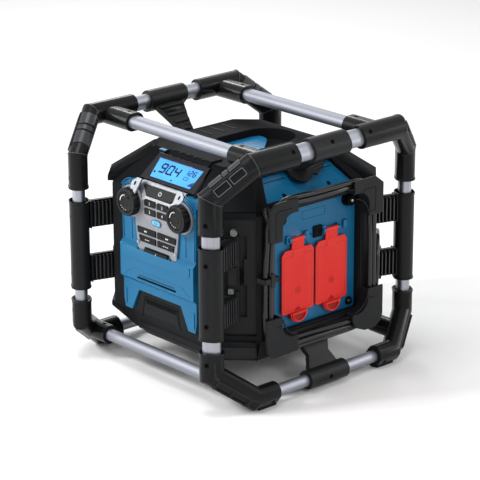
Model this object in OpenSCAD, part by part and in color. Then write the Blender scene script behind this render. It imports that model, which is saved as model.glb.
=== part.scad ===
// Jobsite radio: an eight-sided radio body held by brackets and straps inside a tubular roll cage.
// Front is -Y, the socket side is +X, up is +Z, and the radio stands on z = 0.

/* [Cage] */
// Distance of each post's axis from the middle, left to right
post_x = 153.8; // [150:0.2:157]
// Distance of each post's axis from the middle, front to back
post_y = 200.8; // [198:0.2:206]
// Distance of each rail's axis from the middle
rail_x = 185.5; // [183:0.5:190]
// Height of the bottom rails' axis above the floor
floor_h = 18.3; // [18.1:0.1:19]
// Height between the bottom and the top rails' axes
cage_h = 362; // [358:1:370]
// How far a top bend lies below the top rail
top_drop = 47.9; // [44:0.1:50]
// How far a bottom bend lies above the bottom rail
low_rise = 44.1; // [40:0.1:48]
// Length along the rail that a top corner takes
top_run = 52.4; // [48:0.1:56]
// Length along the rail that a bottom corner takes
low_run = 56.6; // [52:0.1:60]
// Half the bare middle of a top rail, between its two joints
top_rail_gap = 66; // [60:1:72]
// Half the bare middle of a bottom rail
low_rail_gap = 105; // [98:1:108]
// Distance of the top crossbars from the middle
top_bar_y = 117.5; // [112:0.5:124]
// How far the top crossbars lie below the top rails
top_bar_drop = 3.6; // [0:0.1:6]
// Half the bare length of a top crossbar
top_bar_gap = 116; // [108:1:120]
// Distance of the bottom crossbars from the middle
low_bar_y = 172; // [168:1:176]
// Half the bare length of a bottom crossbar
low_bar_gap = 120; // [112:1:124]
// Depth of each tube in its socket
tube_seat = 34; // [28:1:36]

/* [Tubes] */
// Width of the flattened posts and top rails
tube_w = 28; // [26:0.5:29]
// Thickness of the flattened posts and top rails
tube_t = 19.5; // [18:0.5:20.5]
// Width of the top crossbars
bar_w = 26; // [24:0.5:27]
// Thickness of the top crossbars
bar_t = 18.5; // [17:0.5:19.5]
// Diameter of the round bottom tubes
low_d = 19; // [17:0.5:20]
// Wall of every tube
tube_wall = 1.5; // [1:0.1:2.5]
// Turn of the posts' flat section about the vertical
flat_turn = 33; // [28:1:38]

/* [Joints] */
// Width of the moulded joints
joint_w = 37.5; // [36:0.5:39]
// Thickness of the moulded joints
joint_t = 30; // [29:0.5:31]
// Height of the top of each bottom joint's post socket
low_socket_z = 99; // [94:1:104]
// Height of the bottom of each top joint's post socket
top_socket_z = 280.5; // [276:0.5:286]
// Width of the raised pad on each slanting leg
pad_w = 19; // [16:0.5:21]
// Height of the raised pad
pad_h = 2; // [1:0.1:3]
// Length of each window in the pad
pad_window = 24; // [18:1:26]
// Depth of the windows in the pad
window_depth = 2.2; // [1:0.1:3]
// Width of the flat sole under each bottom joint
sole_w = 16; // [10:1:20]
// Head diameter of the cage screws
screw_head = 7; // [6:0.1:8]
// Shank diameter of the cage screws
screw_shank = 3.2; // [2.5:0.1:4]

/* [Brackets] */
// Bottom of the sleeve on each post
sleeve_z0 = 118.5; // [110:0.5:120]
// Top of the sleeve on each post
sleeve_z1 = 260; // [258:0.5:268]
// Bottom of the lower arm
low_arm_z = 126; // [122:1:130]
// Bottom of the upper arm
high_arm_z = 214; // [210:1:218]
// Height of each arm
arm_h = 44; // [38:1:46]
// Thickness of an arm over its ribs
arm_t = 19; // [14:0.5:22]
// Thickness of the web between the ribs
arm_web = 7; // [5:0.5:10]
// Number of ribs on each side of an arm
arm_ribs = 6; // [4:1:7]
// Thickness of one rib
rib_t = 2.4; // [1.5:0.1:3]
// Thickness of the foot plate on the body
foot_t = 4.6; // [3:0.1:5]
// Width of the foot plate at the arms
foot_w = 21; // [20:0.5:24]
// How far the feet sit from the middle of the corner, towards the front or the rear
foot_shift = 6; // [4:0.5:7]

/* [Straps] */
// Half the length of a top clamp on its rail
top_clamp = 37; // [32:1:42]
// Half the length of a bottom clamp on its rail
low_clamp = 40; // [34:1:46]
// Thickness of the straps
strap_t = 9; // [7:0.5:12]
// Number of ribs across each strap
strap_ribs = 5; // [3:1:6]

/* [Body] */
// Half the body's width and depth
body_half = 167; // [165:0.5:168]
// Half the width of each of the four main faces
flat_half = 113; // [110:0.5:115]
// Height of the lower edge of the upright walls
knee_low = 95; // [93:0.5:97]
// Height of the upper edge of the upright walls
knee_high = 291; // [290:0.5:294]
// Height of the body's underside
under_z = 49; // [46:1:52]
// Half-width of the underside
under_half = 134; // [128:1:138]
// Half-width of an underside edge
under_flat = 92; // [88:1:96]
// Height of the body's top
crown_z = 346; // [343:1:348]
// Half-width of the top
crown_half = 108; // [106:1:110]
// Half-width of a top edge
crown_flat = 77; // [75:1:79]
// Wall of the mouldings
wall = 3; // [2.5:0.1:3.5]
// How far the corner guards stand proud
guard = 8; // [5:0.5:10]
// Half-width of the corner guards
guard_half = 30; // [24:1:32]
// Depth of the corner recesses
recess = 8; // [6:0.5:9]
// Half-width of the corner recesses
recess_half = 30; // [26:1:33]
// Clearance round fixed pieces
fit = 0.3; // [0.2:0.05:0.4]

/* [Front] */
// Half-width of the coloured front panel
panel_half = 85.5; // [83:0.5:88]
// How far the front panel stands proud of the wall
panel_proud = 3.5; // [2.5:0.5:4.5]
// How far the belly stands proud of the wall
belly_proud = 9.5; // [8:0.5:11]
// Lower edge of the belly
belly_z0 = 152; // [148:1:156]
// Upper edge of the belly
belly_z1 = 204; // [202:1:208]
// Distance of the knobs from the middle
knob_x = 58; // [57:0.5:60]
// Height of the knobs' axis
knob_z = 276; // [275:0.5:278]
// Radius of the knobs
knob_r = 22; // [20:0.5:23]
// Height of a knob over its seat
knob_h = 12; // [9:0.5:14]
// Radius of the plate's lobe round a knob
lobe_r = 25; // [24.5:0.5:26]
// Diameter of the knobs' shafts
shaft_d = 6; // [5:0.1:7]
// How far the keypad plate stands proud of the wall
plate_proud = 7; // [6.6:0.1:8]
// Thickness of the keypad plate
plate_t = 3; // [2.4:0.1:3.1]
// Clearance round the buttons
button_gap = 0.4; // [0.3:0.05:0.6]
// How far the buttons stand proud of the plate
button_proud = 1.4; // [1.1:0.1:2]

/* [Display] */
// Half-width of the display bezel
bezel_half = 62; // [58:1:64]
// Half-width of the display's glass at its top edge
glass_half = 50; // [46:1:53]
// Start of the glass, measured up the slope
glass_y0 = 28.8; // [27:0.2:31]
// Height of the glass, measured up the slope
glass_h = 34; // [30:1:36]

/* [Sockets] */
// Depth of the outlet panel's face behind the body's side
outlet_inset = 10; // [9:0.5:12]
// Half-width of the outlet panel
outlet_half = 88.6; // [86:0.2:88.8]
// Distance of each flap's axis from the middle
flap_y = 35; // [34:0.5:37]
// Width of a flap
flap_w = 66; // [60:0.5:67]
// Thickness of a flap
flap_t = 3.2; // [2.6:0.1:3.6]
// Height of the flaps' hinge pins
hinge_z = 238; // [236:0.5:240]
// Bottom edge of the flaps
flap_z0 = 122; // [118:1:126]
// Width of a flap's neck
neck_w = 25; // [20:0.5:27]
// Diameter of the hinge pins
pin_d = 2.6; // [2.2:0.1:3]
// Running clearance of pins and shafts, radial
run_fit = 0.05; // [0.02:0.01:0.09]

/* [Cord frame] */
// Half-width of the wall that the cord is wound on
frame_half = 93.5; // [93:0.5:96]
// Height of that wall's lower side
frame_z0 = 94; // [93:0.5:96]
// Height of that wall's upper side
frame_z1 = 296; // [294:0.5:298]
// Reach of the hook plates' outer face beyond the body's side
hook_reach = 21; // [19:0.5:23]
// Thickness of the hook plates
hook_t = 4; // [3:0.5:5]
// Half-width over the lower hooks
hook_half = 122; // [119:1:124]
// Height of the lower edge of the hooks
hook_z0 = 68; // [67:1:70]
// Height of the upper edge of the hooks
hook_z1 = 313; // [311:1:316]
// Distance between the lower and the upper hooks
hook_window = 118; // [112:1:122]
// Diameter of the power cord
cord_d = 8; // [6:0.5:9]
// Bend radius at which the cord's end leaves the winding and turns down again
tail_turn = 34; // [32:1:36]

/* [Hidden] */
$fn = 40;
outlet_x = body_half - outlet_inset;
hook_x = body_half + hook_reach;
corners = [["front_left", -1, -1], ["front_right", 1, -1], ["rear_left", -1, 1], ["rear_right", 1, 1]];
caps = ["power_button", "preset_1", "preset_2", "preset_3", "preset_4",
        "skip_back", "skip_forward", "source_button", "sound_button", "menu_button"];

black = "#26272a";
charcoal = "#3a3c40";
blue = "#1f7db3";
silver = "#b9bcc2";
steel = "#c9ccd2";
red = "#d8382c";

// ---------- vectors and placing ----------
function unit(v) = v / norm(v);
function spun(v, a, t) = v * cos(t) + cross(a, v) * sin(t) + a * (a * v) * (1 - cos(t));
function carried(u, d1, d2) = spun(u, unit(cross(d1, d2)), acos(d1 * d2));
function headings(path) = [for (i = [0:len(path) - 2]) unit(path[i + 1] - path[i])];
// The section's long axis on each of a path's three legs, carried round the mitres without twist
function wide_axes(path, u) =
    let (d = headings(path), second = carried(u, d[0], d[1]))
    [u, second, carried(second, d[1], d[2])];

module place(p, u, d) {
    v = cross(d, u);
    multmatrix([[u.x, v.x, d.x, p.x], [u.y, v.y, d.y, p.y], [u.z, v.z, d.z, p.z], [0, 0, 0, 1]])
        children();
}

module corner(sx, sy) {
    mirror([sx < 0 ? 1 : 0, 0, 0]) mirror([0, sy > 0 ? 1 : 0, 0]) children();
}

module both_sides() {
    children();
    mirror([1, 0, 0]) children();
}

module stadium(w, t) {
    square([w - t, t], center = true);
    for (s = [-1, 1]) translate([s * (w - t) / 2, 0]) circle(d = t);
}

// ---------- cage: driving lines ----------
low_z = floor_h;
high_z = floor_h + cage_h;
post_turn = [cos(flat_turn), sin(flat_turn), 0];
top_path = [[post_x, -post_y, top_socket_z], [post_x, -post_y, high_z - top_drop],
            [rail_x, -(post_y - top_run), high_z], [rail_x, -top_rail_gap, high_z]];
low_path = [[post_x, -post_y, low_socket_z], [post_x, -post_y, low_z + low_rise],
            [rail_x, -(post_y - low_run), low_z], [rail_x, -low_rail_gap, low_z]];
top_wide = wide_axes(top_path, post_turn);
low_wide = wide_axes(low_path, post_turn);
top_bar_z = high_z - top_bar_drop;
low_bar_t = (post_y - low_bar_y) / low_run;
low_bar_z = low_z + low_rise * (1 - low_bar_t);
low_bar_x = post_x + (rail_x - post_x) * low_bar_t;
sock_wall = (joint_t - tube_t) / 2;
tube_fit = 0.2;

function half_round(w, t, turn) =
    [for (i = [0:16]) let (a = turn - 90 + 180 * i / 16)
        [(turn == 0 ? 1 : -1) * (w - t) / 2 + t / 2 * cos(a), t / 2 * sin(a)]];

// A flattened section carried along three legs that meet in mitres
module elbow(path, wide, w, t) {
    d = headings(path);
    section = concat(half_round(w, t, 0), half_round(w, t, 180));
    n = len(section);
    points = [for (i = [0:3])
        let (leg = min(i, 2), u = wide[leg], v = cross(d[leg], u),
             m = i == 0 || i == 3 ? d[leg] : d[i - 1] + d[i])
        for (s = section)
            let (across = s.x * u + s.y * v)
            path[i] + across - d[leg] * (across * m) / (d[leg] * m)];
    polyhedron(points = points, faces = concat(
        [[for (k = [0:n - 1]) k], [for (k = [n - 1:-1:0]) 3 * n + k]],
        [for (i = [0:2]) for (k = [0:n - 1])
            let (j = (k + 1) % n) [i * n + k, (i + 1) * n + k, (i + 1) * n + j, i * n + j]]));
}

// Raised pad with two windows on the outer face of a slanting leg
module leg_pad(path, wide, side) {
    d = headings(path);
    length = norm(path[2] - path[1]);
    pad_len = 2 * pad_window + 3 * 5;
    outer = joint_t / 2 + pad_h;
    place(path[1] + d[1] * (length - pad_len) / 2, wide[1], d[1]) scale([1, side, 1]) difference() {
        translate([-pad_w / 2, joint_t / 2 - 5, 0]) cube([pad_w, outer - joint_t / 2 + 5, pad_len]);
        for (i = [0, 1])
            translate([-pad_w / 2 + 4, outer - window_depth, 5 + i * (pad_window + 5)])
                cube([pad_w - 8, window_depth + 1, pad_window]);
    }
}

// Where the screws of a joint sit: the point on the outer skin, a side axis and the outward axis
function flat_end(u) = u * (joint_w - joint_t) / 2;
function top_screws() =
    let (d = headings(top_path), out0 = -cross(d[0], top_wide[0]), out2 = -cross(d[2], top_wide[2]))
    [[top_path[0] + d[0] * 17 - flat_end(top_wide[0]) + out0 * joint_t / 2, d[0], out0],
     [top_path[3] - d[2] * 13 + out2 * joint_t / 2, d[2], out2],
     [[top_bar_gap + 13, -top_bar_y, top_bar_z + (bar_t / 2 + sock_wall)], [1, 0, 0], [0, 0, 1]]];
function low_screws() =
    let (d = headings(low_path), out0 = cross(d[0], low_wide[0]), out2 = cross(d[2], low_wide[2]))
    [[low_path[0] + d[0] * 17 - flat_end(low_wide[0]) + out0 * joint_t / 2, d[0], out0],
     [low_path[3] - d[2] * 13 + out2 * joint_t / 2, d[2], out2],
     [[low_bar_gap + 13, -low_bar_y, low_bar_z + joint_t / 2], [1, 0, 0], [0, 0, 1]]];
function sleeve_screws() =
    let (out = cross(post_turn, [0, 0, 1]))
    [for (z = [sleeve_z0 + 24, sleeve_z1 - 24])
        [[post_x, -post_y, z] - flat_end(post_turn) + out * joint_t / 2, [0, 0, 1], out]];

module screw_seat(s) {
    place(s[0], s[1], s[2]) {
        translate([0, 0, -2.8]) cylinder(d = screw_head + 0.4, h = 6);
        translate([0, 0, -sock_wall - 3]) cylinder(d = screw_shank + 0.3, h = sock_wall + 2);
    }
}

module screw(s, depth) {
    place(s[0], s[1], s[2]) difference() {
        union() {
            translate([0, 0, -2.8]) cylinder(d = screw_head, h = 2.2);
            translate([0, 0, -depth]) cylinder(d = screw_shank, h = depth - 2);
        }
        translate([0, 0, -1.9]) cylinder(d = 3.4, h = 3, $fn = 6);
    }
}

// ---------- cage: joints ----------
module joint_top() {
    color(black) difference() {
        union() {
            elbow(top_path, top_wide, joint_w, joint_t);
            leg_pad(top_path, top_wide, -1);
            place([top_bar_gap, -top_bar_y, top_bar_z], [0, 1, 0], [1, 0, 0])
                linear_extrude(rail_x - top_bar_gap)
                    stadium(bar_w + 2 * sock_wall, bar_t + 2 * sock_wall);
        }
        place([post_x, -post_y, top_socket_z - 1], post_turn, [0, 0, 1])
            linear_extrude(tube_seat + 2) stadium(tube_w + 2 * tube_fit, tube_t + 2 * tube_fit);
        place([rail_x, -top_rail_gap - tube_seat - 1, high_z], top_wide[2], [0, 1, 0])
            linear_extrude(tube_seat + 2) stadium(tube_w + 2 * tube_fit, tube_t + 2 * tube_fit);
        place([top_bar_gap - 1, -top_bar_y, top_bar_z], [0, 1, 0], [1, 0, 0])
            linear_extrude(tube_seat + 2) stadium(bar_w + 2 * tube_fit, bar_t + 2 * tube_fit);
        for (s = top_screws()) screw_seat(s);
    }
}

module joint_bottom() {
    color(black) difference() {
        union() {
            elbow(low_path, low_wide, joint_w, joint_t);
            leg_pad(low_path, low_wide, 1);
            translate([low_bar_gap, -low_bar_y, low_bar_z]) rotate([0, 90, 0])
                cylinder(d = joint_t, h = low_bar_x - low_bar_gap);
            translate([rail_x - sole_w / 2, low_run - post_y + 2, 0])
                cube([sole_w, post_y - low_run - low_rail_gap - 4, floor_h - 8]);
        }
        place([post_x, -post_y, low_socket_z + 1], post_turn, [0, 0, -1])
            linear_extrude(tube_seat + 2) stadium(tube_w + 2 * tube_fit, tube_t + 2 * tube_fit);
        translate([rail_x, -low_rail_gap - tube_seat - 1, low_z]) rotate([-90, 0, 0])
            cylinder(d = low_d + 2 * tube_fit, h = tube_seat + 2);
        translate([low_bar_gap - 1, -low_bar_y, low_bar_z]) rotate([0, 90, 0])
            cylinder(d = low_d + 2 * tube_fit, h = tube_seat + 2);
        for (s = low_screws()) screw_seat(s);
    }
}

// ---------- cage: tubes ----------
module flat_tube(length, w, t) {
    linear_extrude(length) difference() {
        stadium(w, t);
        stadium(w - 2 * tube_wall, t - 2 * tube_wall);
    }
}

module round_tube(length) {
    linear_extrude(length) difference() {
        circle(d = low_d);
        circle(d = low_d - 2 * tube_wall);
    }
}

module post() {
    start = low_socket_z - tube_seat;
    color(steel) place([post_x, -post_y, start], post_turn, [0, 0, 1])
        flat_tube(top_socket_z + tube_seat - start, tube_w, tube_t);
}

module tubes_top() {
    rail = top_rail_gap + tube_seat;
    bar = top_bar_gap + tube_seat;
    color(steel) {
        both_sides() place([rail_x, -rail, high_z], top_wide[2], [0, 1, 0])
            flat_tube(2 * rail, tube_w, tube_t);
        for (s = [-1, 1]) place([-bar, s * top_bar_y, top_bar_z], [0, 1, 0], [1, 0, 0])
            flat_tube(2 * bar, bar_w, bar_t);
    }
}

module tubes_bottom() {
    rail = low_rail_gap + tube_seat;
    bar = low_bar_gap + tube_seat;
    color(steel) {
        for (s = [-1, 1]) translate([s * rail_x, -rail, low_z]) rotate([-90, 0, 0]) round_tube(2 * rail);
        for (s = [-1, 1]) translate([-bar, s * low_bar_y, low_bar_z]) rotate([0, 90, 0]) round_tube(2 * bar);
    }
}

// ---------- cage: brackets ----------
chamfer_mid = (body_half + flat_half) / 2;
arm_end = [chamfer_mid - foot_shift / sqrt(2), chamfer_mid + foot_shift / sqrt(2)];
arm_run = norm([post_x, post_y] - arm_end);
arm_angle = atan2(post_y - arm_end.y, arm_end.x - post_x);

// Local frame on the front right chamfer: x along it, y into the body
module at_chamfer() {
    translate([chamfer_mid, -chamfer_mid, 0]) rotate(45) children();
}

module arm_stack() {
    pitch = (arm_run - joint_t / 2 - 6) / arm_ribs;
    translate([0, -arm_web / 2, 0]) cube([arm_run + 12, arm_web, arm_h]);
    for (i = [0:arm_ribs])
        translate([joint_t / 2 + i * pitch, -arm_t / 2, i == 0 ? 0 : 2])
            cube([rib_t, arm_t, arm_h - (i == 0 ? 0 : 4)]);
}

module foot_outline() {
    z0 = low_arm_z - 4;
    z1 = high_arm_z + arm_h + 2;
    for (z = [low_arm_z + arm_h / 2, high_arm_z + arm_h / 2 - 1])
        translate([-foot_w / 2, z - arm_h / 2 - 3]) square([foot_w, arm_h + 6]);
    translate([-foot_w / 4, z0]) square([foot_w / 2, z1 - z0]);
}

module bracket() {
    color(black) difference() {
        union() {
            difference() {
                union() {
                    place([post_x, -post_y, sleeve_z0], post_turn, [0, 0, 1])
                        linear_extrude(sleeve_z1 - sleeve_z0) stadium(joint_w, joint_t);
                    translate([post_x, -post_y, 0]) rotate(arm_angle)
                        for (z = [low_arm_z, high_arm_z]) translate([0, 0, z]) arm_stack();
                }
                at_chamfer() translate([-60, recess - 2.5 - foot_t / 2 - fit, 0]) cube([120, 60, crown_z]);
            }
            at_chamfer() translate([-foot_shift, recess - 2.5 - fit, 0]) rotate([90, 0, 0])
                linear_extrude(foot_t) foot_outline();
        }
        place([post_x, -post_y, sleeve_z0 - 1], post_turn, [0, 0, 1])
            linear_extrude(sleeve_z1 - sleeve_z0 + 2) stadium(tube_w + 2 * tube_fit, tube_t + 2 * tube_fit);
        for (s = sleeve_screws()) screw_seat(s);
    }
}

// ---------- cage: straps ----------
top_clamp_screw = [[rail_x, 0, high_z] - cross([0, 1, 0], top_wide[2]) * joint_t / 2, [0, 1, 0],
                   -cross([0, 1, 0], top_wide[2])];
low_clamp_screw = [[rail_x + joint_t / 2, 0, low_z], [0, 1, 0], [1, 0, 0]];

// A tapered strap in its own plane: it leaves the clamp along +y and ends in a rounded foot
module strap_outline(half, run, tip) {
    polygon([[-half, 0], [half, 0], [half * 0.82, run * 0.24], [half * 0.6, run * 0.46], [tip * 1.2,
        run * 0.74],
             [tip, run], [-tip, run], [-tip * 1.2, run * 0.74], [-half * 0.6, run * 0.46],
             [-half * 0.82, run * 0.24]]);
}

module strap(half, run, tip) {
    translate([0, 0, -strap_t / 2]) linear_extrude(strap_t) strap_outline(half, run, tip);
    intersection() {
        linear_extrude(strap_t / 2 + 2.5) strap_outline(half - 2, run, tip - 1.5);
        for (i = [1:strap_ribs])
            translate([-half, i * run / (strap_ribs + 1) + 3, 0]) cube([2 * half, 5, strap_t]);
    }
}

slope_tilt = atan2(crown_z - knee_high, body_half - crown_half);
slope_len = norm([crown_z - knee_high, body_half - crown_half]);
// Local frame on the front slope: x to the right, y up the slope, z out of it
module on_slope() {
    translate([0, -body_half, knee_high]) rotate([slope_tilt, 0, 0]) children();
}

top_foot_y = 58;
top_foot = [body_half - top_foot_y * cos(slope_tilt), 0, knee_high + top_foot_y * sin(slope_tilt)];
top_strap_dir = unit(top_foot - [rail_x, 0, high_z]);
top_strap_run = norm(top_foot - [rail_x, 0, high_z]);
low_foot = [(body_half + under_half) / 2 + 3, 0, (knee_low + under_z) / 2 + 2];
low_strap_dir = unit(low_foot - [rail_x, 0, low_z]);
low_strap_run = norm(low_foot - [rail_x, 0, low_z]);

module strap_frame(origin, dir) {
    out = cross([0, 1, 0], dir);
    multmatrix([[0, dir.x, out.x, origin.x], [1, dir.y, out.y, origin.y], [0, dir.z, out.z, origin.z],
                [0, 0, 0, 1]]) children();
}

module strap_top() {
    difference() {
        union() {
            place([rail_x, -top_clamp, high_z], top_wide[2], [0, 1, 0])
                linear_extrude(2 * top_clamp) stadium(joint_w, joint_t);
            difference() {
                strap_frame([rail_x, 0, high_z], top_strap_dir) strap(top_clamp - 6, top_strap_run + 14, 10);
                rotate(90) on_slope() {
                    translate([-60, -20, -60]) cube([120, 120, 60 - side_sink + fit]);
                    translate([-60, trapezoid_y1 - 1, -60]) cube([120, 120, 60 + fit]);
                }
            }
            rotate(90) on_slope() translate([0, top_foot_y - 4, -side_sink + fit])
                linear_extrude(side_sink + 3) stadium(24, 20);
        }
        place([rail_x, -top_clamp - 1, high_z], top_wide[2], [0, 1, 0])
            linear_extrude(2 * top_clamp + 2) stadium(tube_w + 2 * tube_fit, tube_t + 2 * tube_fit);
        screw_seat(top_clamp_screw);
    }
}

module strap_bottom() {
    difference() {
        union() {
            translate([rail_x, -low_clamp, low_z]) rotate([-90, 0, 0])
                cylinder(d = joint_t, h = 2 * low_clamp);
            difference() {
                strap_frame([rail_x, 0, low_z], low_strap_dir) mirror([0, 0, 1])
                    strap(low_clamp - 6, low_strap_run + 10, 24);
                translate([0, -60, 0]) rotate([90, 0, 0]) mirror([0, 0, 1]) linear_extrude(120)
                    polygon([[0, under_z - 1], [under_half + fit, under_z - 1], [under_half + fit, under_z],
                             [body_half + fit, knee_low], [body_half + fit, knee_high], [0, knee_high]]);
            }
        }
        translate([rail_x, -low_clamp - 1, low_z]) rotate([-90, 0, 0])
            cylinder(d = low_d + 2 * tube_fit, h = 2 * low_clamp + 2);
        screw_seat(low_clamp_screw);
    }
}

module straps_top() {
    color(black) both_sides() strap_top();
}

module straps_bottom() {
    color(black) both_sides() strap_bottom();
}

module cage_screws() {
    color(steel) {
        for (c = corners) corner(c[1], c[2]) {
            for (s = top_screws()) screw(s, sock_wall - 0.2);
            for (s = low_screws()) screw(s, sock_wall - 0.2);
            for (s = sleeve_screws()) screw(s, sock_wall - 0.2);
        }
        both_sides() screw(top_clamp_screw, sock_wall - 0.2);
        both_sides() screw(low_clamp_screw, sock_wall - 0.2);
    }
}

// ---------- body: octagon lofts ----------
function octagon(a, f) = [[a, -f], [a, f], [f, a], [-f, a], [-a, f], [-a, -f], [-f, -a], [f, -a]];

// A solid through level octagons, each given as [height, half-size, half flat]
module loft(rings) {
    last = 8 * (len(rings) - 1);
    polyhedron(
        points = [for (r = rings) for (p = octagon(r[1], r[2])) [p.x, p.y, r[0]]],
        faces = concat(
            [[for (i = [0:7]) i], [for (i = [7:-1:0]) last + i]],
            [for (k = [0:len(rings) - 2]) for (i = [0:7])
                let (j = (i + 1) % 8) [8 * k + i, 8 * k + 8 + i, 8 * k + 8 + j, 8 * k + j]]));
}

module guard_bars() {
    for (a = [45, 135]) rotate(a) translate([0, 0, crown_z / 2])
        cube([3 * body_half, 2 * guard_half, 2 * crown_z], center = true);
}

recess_z0 = 103;
recess_z1 = 285;
grille_t = 2.5;
side_sink = 7;
side_panel_t = 2.5;
seat_x = outlet_x - wall;
window_half = 70;
cavity_flat = flat_half - (recess + wall) * sqrt(2) + wall;

// ---------- body: top cover ----------
well_y0 = -25;
well_y1 = 96;
well_half = 44;
well_deep = 18;
module well_outline(grow) {
    translate([0, well_y1 - well_half]) circle(r = well_half + grow);
    translate([-well_half - grow, well_y0 + 20 - grow])
        square([2 * (well_half + grow), well_y1 - well_y0 - well_half - 20 + grow]);
    for (s = [-1, 1]) translate([s * (well_half - 20), well_y0 + 20]) circle(r = 20 + grow);
    translate([-well_half + 20, well_y0 - grow]) square([2 * (well_half - 20), 20 + grow]);
}

bay = [[-35, -105], [48, -82.5]];
bay_deep = 16;
trapezoid_y1 = 64;
module side_trapezoid(grow) {
    polygon([[-90 - grow, 18 - grow], [90 + grow, 18 - grow], [70 + grow, trapezoid_y1 + grow],
             [-70 - grow, trapezoid_y1 + grow]]);
}

module bezel_outline(grow) {
    polygon([[-bezel_half - grow, 23 - grow], [bezel_half + grow, 23 - grow],
             [bezel_half - 4 + grow, 71 + grow], [-bezel_half + 4 - grow, 71 + grow]]);
}

module cover_pockets(grow) {
    translate([0, 0, crown_z - well_deep - grow]) linear_extrude(well_deep + grow + 1) well_outline(grow);
    for (a = [90, -90]) rotate(a) on_slope()
        translate([0, 0, -side_sink - side_panel_t - grow]) linear_extrude(40) side_trapezoid(fit + grow);
    on_slope() translate([0, 0, -3 - grow]) linear_extrude(20) bezel_outline(fit + grow);
    translate([bay[0].x - grow, bay[0].y - grow, crown_z - bay_deep - grow])
        cube([bay[1].x - bay[0].x + 2 * grow, bay[1].y - bay[0].y + 2 * grow, 60]);
}

module top_cover() {
    color(black) difference() {
        union() {
            loft([[knee_high, body_half, flat_half], [crown_z, crown_half, crown_flat]]);
            intersection() {
                loft([[knee_high, body_half, flat_half + guard * sqrt(2)],
                      [knee_high + 8, body_half, flat_half + guard * sqrt(2)],
                      [crown_z - 2, crown_half + 2, crown_flat + guard]]);
                guard_bars();
            }
        }
        difference() {
            loft([[knee_high - 1, body_half - wall, cavity_flat], [knee_high, body_half - wall, cavity_flat],
                  [crown_z - wall, crown_half - 1.2 * wall, crown_flat - 4 * wall]]);
            cover_pockets(wall);
        }
        cover_pockets(0);
        front_outline_cut() panel_outline(fit);
        media_hinge_slot();
    }
}

// ---------- body: media door ----------
door_lap = 5;
door_t = 2.4;
door_axis = [-86, crown_z - 2.6];
knuckle_r = 3;
module door_profile() {
    low = slope_point(72, fit);
    high = slope_point(72, fit + door_t);
    polygon([low, [-crown_half - 0.1, crown_z + fit], [door_axis.x - 1, crown_z + fit],
             [door_axis.x - 1, crown_z + fit + door_t], [-crown_half - 1, crown_z + fit + door_t], high]);
}

module media_hinge_slot() {
    for (x = [bay[0].x - 4, bay[1].x]) translate([x, door_axis.x, door_axis.y])
        rotate([0, 90, 0]) cylinder(d = pin_d + 2 * run_fit, h = 4);
}

module media_door() {
    length = bay[1].x - bay[0].x;
    color(charcoal) {
        translate([bay[0].x - door_lap, 0, 0]) rotate([90, 0, 90]) linear_extrude(length + 2 * door_lap)
            door_profile();
        translate([bay[0].x + fit, door_axis.x, door_axis.y]) rotate([0, 90, 0])
            cylinder(r = knuckle_r, h = length - 2 * fit);
        translate([bay[0].x + fit, door_axis.x - knuckle_r, door_axis.y])
            cube([length - 2 * fit, knuckle_r, crown_z + fit + 1 - door_axis.y]);
        translate([bay[0].x - 3.5, door_axis.x, door_axis.y]) rotate([0, 90, 0])
            cylinder(d = pin_d, h = length + 7);
    }
}

// Raised step in the front left part of the well
module top_tray() {
    color(blue) translate([0, 0, crown_z - well_deep + 0.1]) linear_extrude(6) intersection() {
        well_outline(-fit);
        polygon([[-60, -60], [60, -60], [60, -12], [12, 36], [-6, 56], [-14, 65], [-22, 70], [-31, 72],
            [-60, 72]]);
    }
}

module slope_panels() {
    color(blue) for (a = [90, -90]) rotate(a) on_slope()
        translate([0, 0, -side_sink - side_panel_t + 0.1]) linear_extrude(side_panel_t - 0.1)
            side_trapezoid(0);
}

// ---------- body: base pan ----------
woofer_r = 70;
module base_pan() {
    color(black) difference() {
        union() {
            loft([[under_z, under_half, under_flat], [knee_low, body_half, flat_half]]);
            intersection() {
                loft([[under_z + 6, under_half + 5, under_flat + 6], [knee_low - 8, body_half, flat_half + 8],
                      [knee_low, body_half, flat_half + 8]]);
                guard_bars();
            }
        }
        loft([[under_z + wall, under_half - wall, under_flat - 4 * wall],
              [knee_low, body_half - wall, cavity_flat], [knee_low + 1, body_half - wall, cavity_flat]]);
        intersection() {
            translate([0, 0, under_z - 1]) cylinder(r = woofer_r - 6, h = wall + 2);
            for (i = [-5:5]) translate([i * 12 - 3.5, -woofer_r, under_z - 1])
                cube([7, 2 * woofer_r, wall + 2]);
        }
    }
}

module woofer() {
    color(charcoal) translate([0, 0, under_z + wall + fit]) rotate_extrude($fn = 64)
        polygon([[woofer_r, 0], [woofer_r, 4], [woofer_r - 8, 4], [42, 34], [42, 62], [0, 62], [0, 40],
                 [20, 36], [woofer_r - 10, 3], [woofer_r - 8, 0]]);
}

// ---------- body: housing ----------
panel_z0 = 98;
panel_z1 = 304;
module panel_outline(grow) {
    g = grow;
    both = [[66 - g, panel_z0 - g], [82 + g, panel_z0 - g], [panel_half + g, 115], [panel_half + g, 298],
            [78 + g, panel_z1 + g]];
    polygon(concat([[49 - g, 133.5 - g]], both, [for (i = [4:-1:0]) [-both[i].x, both[i].y]],
                   [[-49 + g, 133.5 - g]]));
}

module side_seat(grow) {
    translate([seat_x - grow, -outlet_half - fit - grow, panel_low - fit - grow])
        cube([60, 2 * (outlet_half + fit + grow), panel_high - panel_low + 2 * (fit + grow)]);
}

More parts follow.
